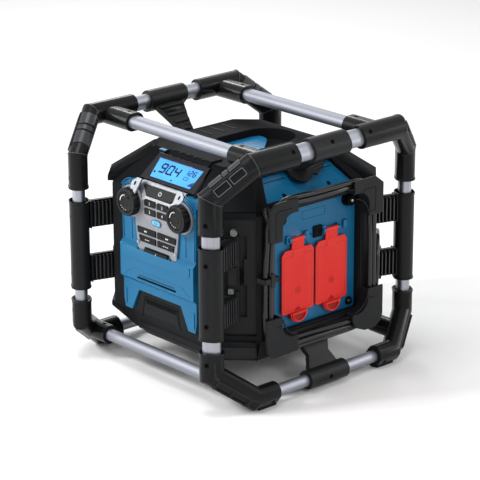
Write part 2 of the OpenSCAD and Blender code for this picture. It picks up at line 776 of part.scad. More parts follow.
module housing() {
    color(black) difference() {
        loft([[knee_low, body_half, flat_half], [knee_high, body_half, flat_half]]);
        difference() {
            loft([[knee_low - 1, body_half - wall, cavity_flat], [knee_high + 1, body_half - wall,
                cavity_flat]]);
            side_seat(wall);
            mirror([1, 0, 0]) side_seat(wall);
            rotate(90) side_seat(wall);
        }
        for (a = [0, 90, 180]) rotate(a) {
            side_seat(0);
            translate([seat_x - 2 * wall, -window_half, frame_z0 + 20])
                cube([30, 2 * window_half, frame_z1 - frame_z0 - 44]);
        }
        front_outline_cut() panel_outline(fit);
        outlet_screw_bores(3.1, 2 * wall);
        for (c = corners) corner(c[1], c[2]) at_chamfer() {
            translate([-recess_half, -20, recess_z0]) cube([2 * recess_half, 20 + recess,
                recess_z1 - recess_z0]);
            translate([0, recess + 20, (recess_z0 + recess_z1) / 2]) rotate([90, 90, 0])
                linear_extrude(30) stadium(150, 34);
        }
    }
}

// Left edge of the tall port beside each foot
port_x = 5;
module speaker_grilles() {
    color(charcoal) for (c = corners) corner(c[1], c[2]) at_chamfer() difference() {
        translate([-recess_half + fit, recess - grille_t, recess_z0 + fit])
            cube([2 * (recess_half - fit), grille_t - 0.1, recess_z1 - recess_z0 - 2 * fit]);
        for (z = [132, 223]) translate([port_x, 0, z]) cube([16 - port_x, 20, z < 200 ? 51 : 36]);
        translate([port_x, 0, 180]) cube([11.5 - port_x, 20, 50]);
    }
}

module corner_speakers() {
    color(charcoal) for (c = corners) corner(c[1], c[2]) at_chamfer()
        translate([0, recess + wall + fit, (recess_z0 + recess_z1) / 2]) rotate([-90, 0, 0]) difference() {
            union() {
                rotate(90) linear_extrude(3) stadium(164, 48);
                cylinder(r1 = 23, r2 = 18, h = 14);
                cylinder(r = 18, h = 26);
            }
            translate([0, 0, -1]) cylinder(r1 = 17, r2 = 6, h = 9);
        }
}

// ---------- body: front ----------
face_y = -body_half - panel_proud;
belly_y = -body_half - belly_proud;
function slope_point(s, n) = [-body_half + s * cos(slope_tilt) - n * sin(slope_tilt),
                              knee_high + s * sin(slope_tilt) + n * cos(slope_tilt)];

panel_skin = concat(
    [[face_y, panel_z0 - 5], [face_y, belly_z0 - 6], [belly_y, belly_z0], [belly_y, belly_z1],
     [face_y, belly_z1 + 6]],
    [slope_point(-0.4 * panel_proud, panel_proud), slope_point(30, panel_proud)]);

// The solid behind a front skin, given as [y, z] points from the bottom up
module behind(skin, depth) {
    rotate([90, 0, 90]) translate([0, 0, -200]) linear_extrude(400)
        polygon(concat([for (p = skin) [p.x + depth, p.y - (p.y > knee_high ? depth * 0.7 : 0)]],
                       [[0, skin[len(skin) - 1].y], [0, skin[0].y]]));
}

module front_outline_cut() {
    translate([0, -100, 0]) rotate([90, 0, 0]) linear_extrude(100) children();
}

// Inner face of the body's wall and slope, where the panel's side walls end
inner_skin = [[-body_half + wall, panel_z0 - 5], [-body_half + wall, knee_high + 1.2],
              slope_point(31, -wall)];

module front_panel() {
    color(blue) difference() {
        union() {
            difference() {
                intersection() {
                    front_outline_cut() panel_outline(0);
                    behind(panel_skin, 0);
                }
                intersection() {
                    front_outline_cut() offset(delta = -wall) panel_outline(0);
                    behind(panel_skin, wall);
                }
            }
            intersection() {
                for (s = [-1, 1]) translate([s * knob_x, -body_half + 30, knob_z]) rotate([90, 0, 0])
                    cylinder(r = lobe_r + 2.5, h = 30 + plate_proud - plate_t - fit);
                front_outline_cut() panel_outline(0);
            }
        }
        behind(inner_skin, 0);
        front_outline_cut() polygon([[-44, 216], [44, 216], [48, 250], [48, 330], [-48, 330], [-48, 250]]);
        difference() {
            front_outline_cut() offset(delta = 0.8) plate_middle();
            behind(plate_skin, plate_t + fit);
        }
        translate([0, fit, 0]) lobes(lobe_r + 0.8, 40);
        for (s = [-1, 1]) translate([s * knob_x, 0, knob_z]) rotate([90, 0, 0])
            cylinder(d = shaft_d + 2, h = 400);
        translate([-45, belly_y - 1, belly_z0 + 3]) cube([90, 4, 3.2]);
        translate([0, belly_y - 1, 0]) rotate([-90, 0, 0]) linear_extrude(20) mirror([0, 1])
            menu_outline(button_gap);
    }
}

// ---------- keypad ----------
plate_y = -body_half - plate_proud;
plate_knee = 284;
plate_tilt = 56.3;
plate_run = 28.8;
plate_top_z = plate_knee + plate_run * sin(plate_tilt);
module plate_middle() {
    polygon([[-50, plate_top_z], [-50, 246], [-44.5, 205], [-41, 201], [-33, 201], [-28, 209.6], [28, 209.6],
             [33, 201], [41, 201], [44.5, 205], [50, 246], [50, plate_top_z]]);
}

module lobes(r, h) {
    for (s = [-1, 1]) translate([s * knob_x, plate_y + plate_t, knob_z]) rotate([90, 0, 0])
        cylinder(r = r, h = h);
}

plate_skin = [[plate_y, 190], [plate_y, plate_knee],
              [plate_y + 2 * plate_run * cos(plate_tilt), plate_knee + 2 * plate_run * sin(plate_tilt)]];

// Frame on the plate's upper, leaning part: x to the right, y up, z out
module on_plate_slope() {
    translate([0, plate_y, plate_knee]) rotate([plate_tilt, 0, 0]) children();
}

module rounded(w, h, r) {
    square([w - 2 * r, h], center = true);
    square([w, h - 2 * r], center = true);
    for (x = [-1, 1], y = [-1, 1]) translate([x * (w / 2 - r), y * (h / 2 - r)]) circle(r = r);
}

preset_size = [25, 9.4];
module skip_outline(grow) {
    g = grow;
    polygon([[2 - g, 230 - g], [43.4 + g, 230 - g], [45 + g, 239.4 + g], [2 - g, 239.4 + g]]);
}

module lower_outline(grow) {
    g = grow;
    polygon([[2 - g, 217 - g], [38.6 + g, 217 - g], [41 + g, 226.4 + g], [2 - g, 226.4 + g]]);
}

module menu_outline(grow) {
    g = grow;
    polygon([[-31 - g, 198.5 - g], [31 + g, 198.5 - g], [26 + g, 208 + g], [-26 - g, 208 + g]]);
}

module power_outline(grow) {
    g = grow;
    polygon([[-28 - g, 7.6 - g], [28 + g, 7.6 - g], [41 + g, 20.5], [41 + g, 24 + g], [-41 - g, 24 + g],
             [-41 - g, 20.5]]);
}

// Outline of a button in the front view
module cap_outline(name, grow) {
    if (name == "preset_1") translate([-14.5, 281]) rounded(preset_size.x + 2 * grow,
        preset_size.y + 2 * grow, 1);
    if (name == "preset_2") translate([14.5, 281]) rounded(preset_size.x + 2 * grow,
        preset_size.y + 2 * grow, 1);
    if (name == "preset_3") translate([-14.5, 267.5]) rounded(preset_size.x + 2 * grow,
        preset_size.y + 2 * grow, 1);
    if (name == "preset_4") translate([14.5, 267.5]) rounded(preset_size.x + 2 * grow,
        preset_size.y + 2 * grow, 1);
    if (name == "skip_back") mirror([1, 0]) skip_outline(grow);
    if (name == "skip_forward") skip_outline(grow);
    if (name == "source_button") mirror([1, 0]) lower_outline(grow);
    if (name == "sound_button") lower_outline(grow);
    if (name == "menu_button") menu_outline(grow);
}

module keypad_plate() {
    color(silver) difference() {
        union() {
            difference() {
                intersection() {
                    front_outline_cut() plate_middle();
                    behind(plate_skin, 0);
                }
                behind(plate_skin, plate_t);
            }
            lobes(lobe_r, plate_t + 1);
        }
        for (name = caps) if (name != "power_button" && name != "menu_button")
            front_outline_cut() cap_outline(name, button_gap);
        on_plate_slope() translate([0, 0, -20]) linear_extrude(40) power_outline(button_gap);
        for (s = [-1, 1]) translate([s * knob_x, 0, knob_z]) rotate([90, 0, 0])
            cylinder(d = shaft_d + 2 * run_fit, h = 400);
    }
}

module cap(name) {
    depth = 6;
    color(black) {
        if (name == "power_button")
            on_plate_slope() translate([0, 0, -plate_t - 0.6])
                linear_extrude(plate_t + 0.6 + button_proud) power_outline(0);
        else {
            out = name == "menu_button" ? belly_y - 0.6 : plate_y - button_proud;
            translate([0, out + (name == "menu_button" ? 4 : depth), 0]) rotate([90, 0, 0])
                linear_extrude(name == "menu_button" ? 4 : depth) cap_outline(name, 0);
        }
    }
}

module knob(side) {
    color(black) translate([side * knob_x, plate_y - 1 - fit, knob_z]) rotate([90, 0, 0]) {
        difference() {
            rotate_extrude($fn = 64)
                polygon([[0, 0], [knob_r, 0], [knob_r, knob_h - 3], [knob_r - 1.5, knob_h], [knob_r - 5,
                    knob_h],
                         [knob_r - 6, knob_h - 1.4], [0, knob_h - 1.4]]);
            for (i = [0:17]) rotate(i * 20) translate([knob_r + 1.2, 0, 1]) cylinder(r = 2.2, h = knob_h);
            rotate(side * 40 + 90) translate([knob_r - 11, 0, knob_h - 2.4]) cylinder(r = 2.4, h = 3);
        }
        translate([0, 0, -12]) cylinder(d = shaft_d, h = 13);
    }
}

module volume_knob() {
    knob(-1);
}

module tuning_knob() {
    knob(1);
}

board_y = plate_y + 17;
module main_board() {
    color("darkgreen") {
        difference() {
            translate([-76, board_y, 200]) cube([152, 1.6, 84]);
            for (s = [-1, 1]) translate([s * 70, board_y - 1, 206]) rotate([-90, 0, 0])
                cylinder(d = 3.4, h = 5);
        }
        for (s = [-1, 1]) translate([s * knob_x, board_y + 0.5, knob_z]) rotate([90, 0, 0])
            cylinder(r = 7, h = 5 - 0.5 + 0.2);
        for (name = caps) if (name != "power_button" && name != "menu_button") {
            x = name == "preset_1" || name == "preset_3" ? -14.5 : name == "preset_2" ||
                name == "preset_4" ? 14.5
                : name == "skip_back" || name == "source_button" ? -22 : 22;
            z = name == "preset_1" || name == "preset_2" ? 278.5 : name == "preset_3" ||
                name == "preset_4" ? 267.5
                : name == "skip_back" || name == "skip_forward" ? 234.7 : 221.7;
            translate([x - 3, board_y - 10 + button_proud + 1.3, z - 3]) cube([6, 10 - button_proud - 1, 6]);
        }
        translate([-30, board_y + 1.5, 215]) cube([40, 6, 30]);
    }
}

// ---------- display ----------
module glass_outline(grow) {
    g = grow;
    polygon([[-glass_half + 4 - g, glass_y0 - g], [glass_half - 4 + g, glass_y0 - g],
             [glass_half + g, glass_y0 + glass_h + g], [-glass_half - g, glass_y0 + glass_h + g]]);
}

module display_bezel() {
    color(black) on_slope() difference() {
        translate([0, 0, -2.9]) linear_extrude(5.9) bezel_outline(0);
        translate([0, 0, -0.5]) linear_extrude(10) glass_outline(0);
        translate([0, 0, -4]) linear_extrude(10) glass_outline(-4);
    }
}

module display() {
    color("#4aa8dc") on_slope() translate([0, 0, -0.4]) linear_extrude(2.6) glass_outline(-0.15);
}

// ---------- socket side ----------
panel_low = frame_z0 + 5 + fit;
panel_high = frame_z1 - 8 - fit;
pin_x = outlet_x + 3.9;
socket_z = 168;
socket_r = 21;
ear_t = 5;
// Two ears with a pin bore beside a knuckle of the given length, centred at y, on the panel's face
module ears(y, z, length) {
    for (e = [-1, 1]) translate([outlet_x - 1, y + e * (length / 2 + 0.4 + ear_t / 2) - ear_t / 2, z - 5]) {
        cube([pin_x - outlet_x + 1, ear_t, 10]);
        translate([pin_x - outlet_x + 1, 0, 5]) rotate([-90, 0, 0]) cylinder(r = 3.6, h = ear_t);
    }
}

module ear_bore(y, z, length) {
    translate([pin_x, y - length / 2 - 4, z]) rotate([-90, 0, 0])
        cylinder(d = pin_d + 2 * run_fit, h = length + 8);
}

// A knuckle with its pin, turned as one with the flap or door that it carries
module knuckle(length) {
    translate([pin_x, -length / 2, 0]) rotate([-90, 0, 0]) cylinder(r = 3.5, h = length);
    translate([pin_x, -length / 2 - 3.8, 0]) rotate([-90, 0, 0]) cylinder(d = pin_d, h = length + 7.6);
}

screw_inset = 8.5;
module outlet_screw_bores(d, depth) {
    for (y = [-1, 1] * (outlet_half - screw_inset), z = [panel_low + screw_inset, panel_high - screw_inset])
        translate([seat_x - depth, y, z]) rotate([0, 90, 0]) cylinder(d = d, h = 20);
}

module outlet_panel() {
    color(blue) difference() {
        union() {
            translate([seat_x + 0.1, -outlet_half, panel_low])
                cube([outlet_x - seat_x - 0.1, 2 * outlet_half, panel_high - panel_low]);
            for (s = [-1, 1]) ears(s * flap_y, hinge_z, neck_w);
        }
        for (s = [-1, 1]) {
            translate([seat_x - 5, s * flap_y, socket_z]) rotate([0, 90, 0])
                cylinder(r = socket_r + fit, h = 20);
            ear_bore(s * flap_y, hinge_z, neck_w);
        }
        outlet_screw_bores(3.6, 1);
    }
}

module outlet_sockets() {
    color(charcoal) for (s = [-1, 1]) translate([seat_x - 26, s * flap_y, socket_z]) rotate([0, 90, 0])
        difference() {
            cylinder(r = socket_r, h = 26 + wall + 1.6);
            translate([0, 0, 16]) cylinder(r = socket_r - 3, h = 30);
            for (e = [-1, 1]) translate([0, e * 9.5, 4]) cylinder(d = 5, h = 20);
        }
}

module flap_outline() {
    w = flap_w / 2;
    n = neck_w / 2;
    polygon([[-w + 3, flap_z0], [w - 3, flap_z0], [w, flap_z0 + 3], [w, hinge_z - 22], [w - 6, hinge_z - 15],
             [n, hinge_z - 15], [n, hinge_z - 1], [-n, hinge_z - 1], [-n, hinge_z - 15], [-w + 6,
                 hinge_z - 15],
             [-w, hinge_z - 22], [-w, flap_z0 + 3]]);
}

module flap(side) {
    inner = outlet_x + 2.3;
    color(red) translate([0, side * flap_y, 0]) {
        translate([inner, 0, 0]) rotate([90, 0, 90]) linear_extrude(flap_t) flap_outline();
        translate([0, 0, hinge_z]) knuckle(neck_w);
        translate([inner, 0, flap_z0]) rotate([90, 0, 90]) linear_extrude(flap_t + 3) difference() {
            scale([1, 0.86]) circle(r = 17.5);
            translate([-30, 1]) square(60);
        }
    }
}

module flap_left() {
    flap(-1);
}

module flap_right() {
    flap(1);
}

// ---------- cord frame and cord ----------
frame_back = body_half + 0.1;
module ring_outline(grow) {
    mid = (frame_z0 + frame_z1) / 2;
    translate([0, mid]) rounded(2 * (frame_half + grow), frame_z1 - frame_z0 + 2 * grow, 22);
}

// Cut-cornered plates in the side view, each with a hollow towards the outlets
module low_hook(side) {
    z = hook_z0;
    difference() {
        if (side > 0)
            polygon([[57, z + 22], [62, z + 9], [84, z], [106, z], [118, z + 8], [hook_half, z + 19],
                     [hook_half, z + 66], [57, z + 66]]);
        else
            polygon([[-57, z + 5], [-108, z + 4], [-120, z + 15], [-hook_half, z + 30], [-hook_half, z + 66],
                     [-57, z + 66]]);
        translate([side * 57, z + 65]) circle(r = 31);
    }
}

module high_hook(side) {
    z = hook_z0 + 66 + hook_window;
    if (side > 0) difference() {
        polygon([[58, hook_z1], [103, hook_z1], [hook_half - 2, hook_z1 - 13], [hook_half - 2, z], [58, z]]);
        translate([57, z + 2]) circle(r = 30);
    }
    else polygon([[-58, hook_z1], [-104, hook_z1], [-116, hook_z1 - 10], [-116, z + 5], [-112, z], [-88, z],
                  [-88, z + 16], [-83, z + 28], [-70, z + 33], [-58, z + 33]]);
}

module ring_wall() {
    difference() {
        ring_outline(0);
        ring_outline(-4);
    }
}

module cord_frame() {
    color(black) {
        translate([frame_back, 0, 0]) rotate([90, 0, 90]) linear_extrude(3) difference() {
            ring_outline(4);
            ring_outline(-4);
        }
        for (s = [-1, 1]) {
            translate([frame_back, 0, 0]) rotate([90, 0, 90]) linear_extrude(hook_x - frame_back - hook_t + 1)
                intersection() {
                    ring_wall();
                    for (z = [hook_z0, hook_z0 + 66 + hook_window])
                        translate([s * 88 - 30, z]) square([60, 66]);
                }
            translate([hook_x - hook_t, 0, 0]) rotate([90, 0, 90]) linear_extrude(hook_t) difference() {
                union() {
                    low_hook(s);
                    high_hook(s);
                }
                ring_outline(-4);
            }
        }
    }
}

cord_half = 115;
cord_z = [72, 312];
module power_cord() {
    color(black) translate([frame_back + 3.3, 0, 0]) rotate([90, 0, 90])
        linear_extrude(hook_x - hook_t - 0.3 - frame_back - 3.3) difference() {
            translate([0, (cord_z[0] + cord_z[1]) / 2]) rounded(2 * cord_half, cord_z[1] - cord_z[0], 42);
            ring_outline(0.3);
        }
}

// Route of the cord's free end: up beside the winding, round the rear corner and down to the plug
tail_start = [hook_x - hook_t - 7.1, cord_half + cord_d / 2 + 0.05, 200];
tail_lean = tail_turn / sqrt(2);
tail_level = 180.6 - tail_start.y - 2 * tail_lean;
function tail_out(a) = tail_lean * (1 - cos(a));
function tail_along(a) = tail_lean * sin(a);
tail = concat(
    [tail_start - [0, 0, tail_turn + 12]],
    [for (a = [0:15:90]) tail_start + [-tail_out(a), tail_out(a), tail_turn * (sin(a) - 1)]],
    [for (a = [0:15:90])
        tail_start + [-1, 1, 0] * (tail_lean + tail_level + tail_along(a))
            - [0, 0, tail_turn * (1 - cos(a))]]);

// A closed tube through the given points, with its end faces square to the end legs
module tube_along(path, d, sides) {
    last = len(path) - 1;
    heading = [for (i = [0:last]) unit(path[min(i + 1, last)] - path[max(i - 1, 0)])];
    points = [for (i = [0:last])
        let (across = unit(cross(heading[i], [1, 1, 0])), upward = cross(heading[i], across))
        for (k = [0:sides - 1])
            path[i] + d / 2 * (cos(360 * k / sides) * across + sin(360 * k / sides) * upward)];
    polyhedron(points = points, faces = concat(
        [[for (k = [0:sides - 1]) k], [for (k = [sides - 1:-1:0]) last * sides + k]],
        [for (i = [0:last - 1]) for (k = [0:sides - 1])
            let (n = (k + 1) % sides)
            [i * sides + k, (i + 1) * sides + k, (i + 1) * sides + n, i * sides + n]]));
}

module cord_tail() {
    color(black) tube_along(tail, cord_d, 10);
}

module cord_plug() {
    end = tail[len(tail) - 1];
    dir = unit(end - tail[len(tail) - 2]);
    color(black) place(end + dir * 0.05, unit(cross(dir, [1, 1, 0])), dir) {
        cylinder(r1 = 6, r2 = 11, h = 16);
        translate([0, 0, 15.9]) cylinder(r = 13, h = 26);
        for (s = [-1, 1]) translate([0, s * 6.3, 40]) cylinder(d = 4, h = 19);
    }
}

// ---------- other sides and inside ----------
module wall_panel() {
    difference() {
        translate([seat_x + 0.1, -outlet_half, panel_low])
            cube([body_half - seat_x + 1, 2 * outlet_half, panel_high - panel_low]);
        translate([outlet_x, -outlet_half + 10, panel_low + 10])
            cube([60, 2 * outlet_half - 20, panel_high - panel_low - 20]);
    }
}

module side_panel() {
    color(black) mirror([1, 0, 0]) wall_panel();
}

battery_bay = [[-52, 148], [52, 236]];
battery_deep = 58;
battery_hinge_z = 138;
battery_door_w = 122;
module rear_panel() {
    w = battery_bay[1] - battery_bay[0];
    color(black) rotate(90) difference() {
        union() {
            wall_panel();
            translate([outlet_x - battery_deep, battery_bay[0].x - 2, battery_bay[0].y - 2])
                cube([battery_deep, w.x + 4, w.y + 4]);
            ears(0, battery_hinge_z, battery_door_w - 20);
        }
        translate([outlet_x - battery_deep + 2, battery_bay[0].x, battery_bay[0].y]) cube([100, w.x, w.y]);
        ear_bore(0, battery_hinge_z, battery_door_w - 20);
    }
}

module battery_door() {
    inner = outlet_x + 2.3;
    color(charcoal) rotate(90) {
        translate([inner, -battery_door_w / 2, battery_hinge_z + 5.2])
            cube([flap_t, battery_door_w, battery_bay[1].y + 8 - battery_hinge_z - 5.2]);
        translate([inner, -battery_door_w / 2 + 10, battery_hinge_z]) cube([flap_t, battery_door_w - 20, 7]);
        translate([0, 0, battery_hinge_z]) knuckle(battery_door_w - 20);
        translate([inner, -14, battery_bay[1].y + 4]) cube([flap_t + 2, 28, 8]);
    }
}

module body_screws() {
    color(steel)
        for (y = [-1, 1] * (outlet_half - screw_inset), z = [panel_low + screw_inset,
            panel_high - screw_inset])
        translate([outlet_x, y, z]) rotate([0, 90, 0]) {
            cylinder(d = 7, h = 2);
            translate([0, 0, -8]) cylinder(d = 3, h = 9);
        }
}

module power_supply() {
    color("gray") translate([-118, -45, under_z + wall + 0.1]) {
        cube([42, 90, 4]);
        translate([5, 8, 3.9]) cube([34, 40, 44]);
        for (y = [58, 74]) translate([20, y, 3.9]) cylinder(d = 14, h = 30);
    }
}

// ---------- show ----------
for (c = corners) {
    corner(c[1], c[2]) joint_top();
    corner(c[1], c[2]) joint_bottom();
    corner(c[1], c[2]) post();
    corner(c[1], c[2]) bracket();
}
tubes_top();
tubes_bottom();
straps_top();
straps_bottom();
cage_screws();
housing();
top_cover();
base_pan();
front_panel();
display_bezel();
display();
keypad_plate();
main_board();
outlet_panel();
outlet_sockets();
slope_panels();
top_tray();
cord_frame();
power_cord();
cord_tail();
cord_plug();
corner_speakers();
speaker_grilles();
woofer();
side_panel();
rear_panel();
body_screws();
power_supply();
for (name = caps) cap(name);
volume_knob();
tuning_knob();
flap_left();
flap_right();
media_door();
battery_door();
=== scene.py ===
from math import atan2, cos, pi, radians, sin, sqrt, tau

import bmesh
import bpy
from mathutils import Matrix, Quaternion, Vector


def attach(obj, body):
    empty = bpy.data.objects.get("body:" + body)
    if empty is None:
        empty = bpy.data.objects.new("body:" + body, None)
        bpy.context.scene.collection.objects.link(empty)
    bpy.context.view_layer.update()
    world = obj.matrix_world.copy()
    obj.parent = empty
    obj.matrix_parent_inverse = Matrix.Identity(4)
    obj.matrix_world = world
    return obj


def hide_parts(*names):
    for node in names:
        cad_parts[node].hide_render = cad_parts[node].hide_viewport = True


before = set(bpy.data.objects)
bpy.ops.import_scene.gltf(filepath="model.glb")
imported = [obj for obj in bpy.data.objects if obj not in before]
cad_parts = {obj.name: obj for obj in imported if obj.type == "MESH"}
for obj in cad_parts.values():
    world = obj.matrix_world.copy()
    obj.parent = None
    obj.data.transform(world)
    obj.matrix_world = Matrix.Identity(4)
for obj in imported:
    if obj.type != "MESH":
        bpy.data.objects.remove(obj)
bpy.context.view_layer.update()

MM = 0.001
RADIO = Matrix.Scale(MM, 4)     # the radio's own frame, in millimetres
BODY = "body"
PEBBLE_DEPTH = 0.00012      # of the etched grain
LINES_ACROSS, LINES_ALONG = 1400.0, 9.0     # how finely a drawn tube's lines vary, each way
SMOOTH_OVER = radians(35)      # a made piece's edges are smooth up to this turn
CAD_SMOOTH_OVER = radians(30)      # and a CAD node's
PRINT = 0.12        # thickness of the prints on keys and knobs
LCD_PRINT = 0.15        # and of the display's figures
POST_X, POST_Y = 153.8, 200.8       # the posts' axes
POST_TURN = radians(33)        # of their flat section, away from the radio's own axes
KNOB_X, KNOB_Z = 58, 276        # the knobs' axes
SCALE_R = 11.6      # of the scales printed on them
WINDOW = (0, 253.5)     # the middle of the key plate's window
FLAP_Y, FLAP_FACE, TAB_FACE = 35.0, 5.5, 8.2        # the flaps' middles, faces and pull tabs
CORNERS = {"front_left": (-1, -1), "front_right": (1, -1), "rear_left": (-1, 1), "rear_right": (1, 1)}


# ---------- places on the radio, each with x to the right, y up and z out of the surface ----------
def local(origin, right, up, out):
    """The matrix from millimetres in a place's own directions to the radio's metres."""
    m = Matrix((right, up, out)).transposed().to_4x4()
    m.translation = Vector(origin) * MM
    return m @ RADIO


def tilted_front(origin, tilt):
    """A place on a front face that leans back by this angle from level."""
    return local(origin, (1, 0, 0), (0, cos(tilt), sin(tilt)), (0, -sin(tilt), cos(tilt)))


WALL, KNEE = 167, 291       # the housing's walls, and the height where its slopes begin
SLOPE = atan2(55, 59)
PLATE_TILT = radians(56.3)
FRONT = (1, 0, 0), (0, 0, 1), (0, -1, 0)
SIDE = (0, 1, 0), (0, 0, 1), (1, 0, 0)
KEYS = local((0, -174, 0), *FRONT)
SKIN = local((0, -170.5, 0), *FRONT)
BELLY = local((0, -176.5, 0), *FRONT)
HOUSE = local((0, -WALL, 0), *FRONT)
FRONT_SLOPE = tilted_front((0, -WALL, KNEE), SLOPE)
KEY_SLOPE = tilted_front((0, -174, 284), PLATE_TILT)
OUTLETS = local((157, 0, 0), *SIDE)
HOOKS = local((188, 0, 0), *SIDE)
SIDE_SLOPE = local((WALL, 0, KNEE), (0, 1, 0), (-cos(SLOPE), 0, sin(SLOPE)), (sin(SLOPE), 0, cos(SLOPE)))
TOP = local((0, 0, 346), (1, 0, 0), (0, 1, 0), (0, 0, 1))
REAR_WALL = local((0, 157, 0), (-1, 0, 0), (0, 0, 1), (0, 1, 0))
LEFT_WALL = local((-157, 0, 0), (0, -1, 0), (0, 0, 1), (-1, 0, 0))


# ---------- effects that several finishes share ----------
def effect(name, ins, outs):
    group = bpy.data.node_groups.new(name, "ShaderNodeTree")
    for label, value in ins:
        kind = "NodeSocketColor" if isinstance(value, tuple) else "NodeSocketFloat"
        socket = group.interface.new_socket(label, in_out="INPUT", socket_type=kind)
        socket.default_value = value
    for label, kind in outs:
        group.interface.new_socket(label, in_out="OUTPUT", socket_type=kind)
    return group, group.nodes.new("NodeGroupInput"), group.nodes.new("NodeGroupOutput")


def fill(tree, n, inputs):
    """Sets each input of a node to a value, or links it to a socket."""
    for key, value in inputs.items():
        if isinstance(value, bpy.types.NodeSocket):
            tree.links.new(value, n.inputs[key])
        else:
            n.inputs[key].default_value = value


def node(tree, kind, inputs=None, **settings):
    n = tree.nodes.new("ShaderNode" + kind)
    for key, value in settings.items():
        setattr(n, key, value)
    fill(tree, n, inputs or {})
    return n


def maths(tree, operation, *values, clamp=False):
    return node(tree, "Math", dict(enumerate(values)), operation=operation, use_clamp=clamp).outputs[0]


def object_point(tree, stretch=(1, 1, 1)):
    place = node(tree, "TexCoord").outputs["Object"]
    return node(tree, "Mapping", {"Vector": place, "Scale": stretch}).outputs["Vector"]


def make_handled_surface():
    """Colour and roughness of a handled moulding: soft mottling, fine scuffs and rubbed edges."""
    g, source, sink = effect(
        "handled_surface",
        [("Colour", (0.02, 0.02, 0.02, 1)), ("Rubbed", (0.1, 0.1, 0.1, 1)), ("Mottle", 0.15),
         ("Scuffs", 0.15), ("Edges", 0.35), ("Roughness", 0.4)],
        [("Colour", "NodeSocketColor"), ("Roughness", "NodeSocketFloat")])
    cloud = node(g, "TexNoise", {"Vector": object_point(g), "Scale": 22.0, "Detail": 4.0})
    lines = node(g, "TexNoise", {"Vector": object_point(g, (60, 400, 900)), "Scale": 1.4, "Detail": 3.0})
    scuff = node(g, "MapRange", {"Value": lines.outputs["Fac"], "From Min": 0.62, "From Max": 0.74})
    edge = node(g, "MapRange", {"Value": node(g, "NewGeometry").outputs["Pointiness"], "From Min": 0.52,
                                "From Max": 0.62})
    worn = node(g, "TexNoise", {"Vector": object_point(g), "Scale": 180.0, "Detail": 2.0})
    some = maths(g, "MULTIPLY", edge.outputs[0], worn.outputs["Fac"])
    edged = maths(g, "MULTIPLY", some, source.outputs["Edges"])
    scuffed = maths(g, "MULTIPLY", scuff.outputs[0], source.outputs["Scuffs"])
    rub = maths(g, "MAXIMUM", edged, scuffed, clamp=True)
    centred = maths(g, "SUBTRACT", cloud.outputs["Fac"], 0.5)
    mottle = maths(g, "MULTIPLY", centred, source.outputs["Mottle"])
    value = maths(g, "ADD", mottle, 1.0)
    tinted = node(g, "HueSaturation", {"Color": source.outputs["Colour"], "Value": value})
    colour = node(g, "Mix", {"Factor": rub, "A": tinted.outputs[0], "B": source.outputs["Rubbed"]},
                  data_type="RGBA")
    rough = maths(g, "MULTIPLY_ADD", mottle, 0.6, source.outputs["Roughness"])
    rougher = maths(g, "MULTIPLY_ADD", scuffed, 0.25, rough)
    fill(g, sink, {"Colour": colour.outputs["Result"], "Roughness": rougher})
    return g


def make_spark_grain():
    """The pebbled skin that a mould's etching leaves."""
    g, source, sink = effect("spark_grain", [("Size", 1500.0), ("Relief", 0.3)],
                             [("Height", "NodeSocketFloat")])
    cells = node(g, "TexVoronoi", {"Vector": object_point(g), "Scale": source.outputs["Size"]})
    swell = node(g, "TexNoise", {"Vector": object_point(g), "Scale": source.outputs["Size"], "Detail": 2.0})
    both = maths(g, "MULTIPLY", cells.outputs["Distance"], swell.outputs["Fac"])
    fill(g, sink, {"Height": maths(g, "MULTIPLY", both, source.outputs["Relief"])})
    return g


handled_surface = make_handled_surface()
spark_grain = make_spark_grain()


def handled(tree, colour, rubbed, mottle, scuffs, edges, roughness):
    return node(tree, "Group", {"Colour": (*colour, 1), "Rubbed": (*rubbed, 1), "Mottle": mottle,
                                "Scuffs": scuffs, "Edges": edges, "Roughness": roughness},
                node_tree=handled_surface)


def paint(name):
    m = bpy.data.materials.new(name)
    m.use_nodes = True
    return m, m.node_tree, m.node_tree.nodes["Principled BSDF"]


def moulded(name, colour, rubbed, roughness, grain=1500.0, relief=0.3, mottle=0.15, scuffs=0.12, edges=0.35,
            coat=0.0, metallic=0.0, specular=0.15):
    """A moulding's finish: its colour where it is whole and where it is rubbed, and its etched grain."""
    m, tree, shader = paint(name)
    skin = handled(tree, colour, rubbed, mottle, scuffs, edges, roughness)
    pebbles = node(tree, "Group", {"Size": grain, "Relief": relief}, node_tree=spark_grain)
    bump = node(tree, "Bump", {"Height": pebbles.outputs["Height"], "Distance": PEBBLE_DEPTH,
                               "Strength": 0.6})
    fill(tree, shader, {"Base Color": skin.outputs["Colour"], "Roughness": skin.outputs["Roughness"],
                        "Normal": bump.outputs["Normal"], "Coat Weight": coat, "Coat Roughness": 0.2,
                        "Specular IOR Level": specular, "Metallic": metallic})
    return m


def drawn_metal(name, colour, along, roughness=0.36):
    """Aluminium tube with the fine lines of its drawing die running along this axis."""
    m, tree, shader = paint(name)
    stretch = [LINES_ACROSS] * 3
    stretch[along] = LINES_ALONG
    place = object_point(tree, tuple(stretch))
    lines = node(tree, "TexNoise", {"Vector": place, "Scale": 1.0, "Detail": 3.0})
    skin = handled(tree, colour, (0.32, 0.33, 0.35), 0.1, 0.1, 0.0, roughness)
    shade = node(tree, "MapRange", {"Value": lines.outputs["Fac"], "From Min": 0.3, "From Max": 0.7,
                                    "To Min": 0.9, "To Max": 1.06})
    tinted = node(tree, "HueSaturation", {"Color": skin.outputs["Colour"], "Value": shade.outputs[0]})
    bump = node(tree, "Bump", {"Height": lines.outputs["Fac"], "Distance": 0.00002, "Strength": 0.5})
    fill(tree, shader, {"Base Color": tinted.outputs[0], "Roughness": skin.outputs["Roughness"],
                        "Normal": bump.outputs["Normal"], "Metallic": 1.0})
    return m


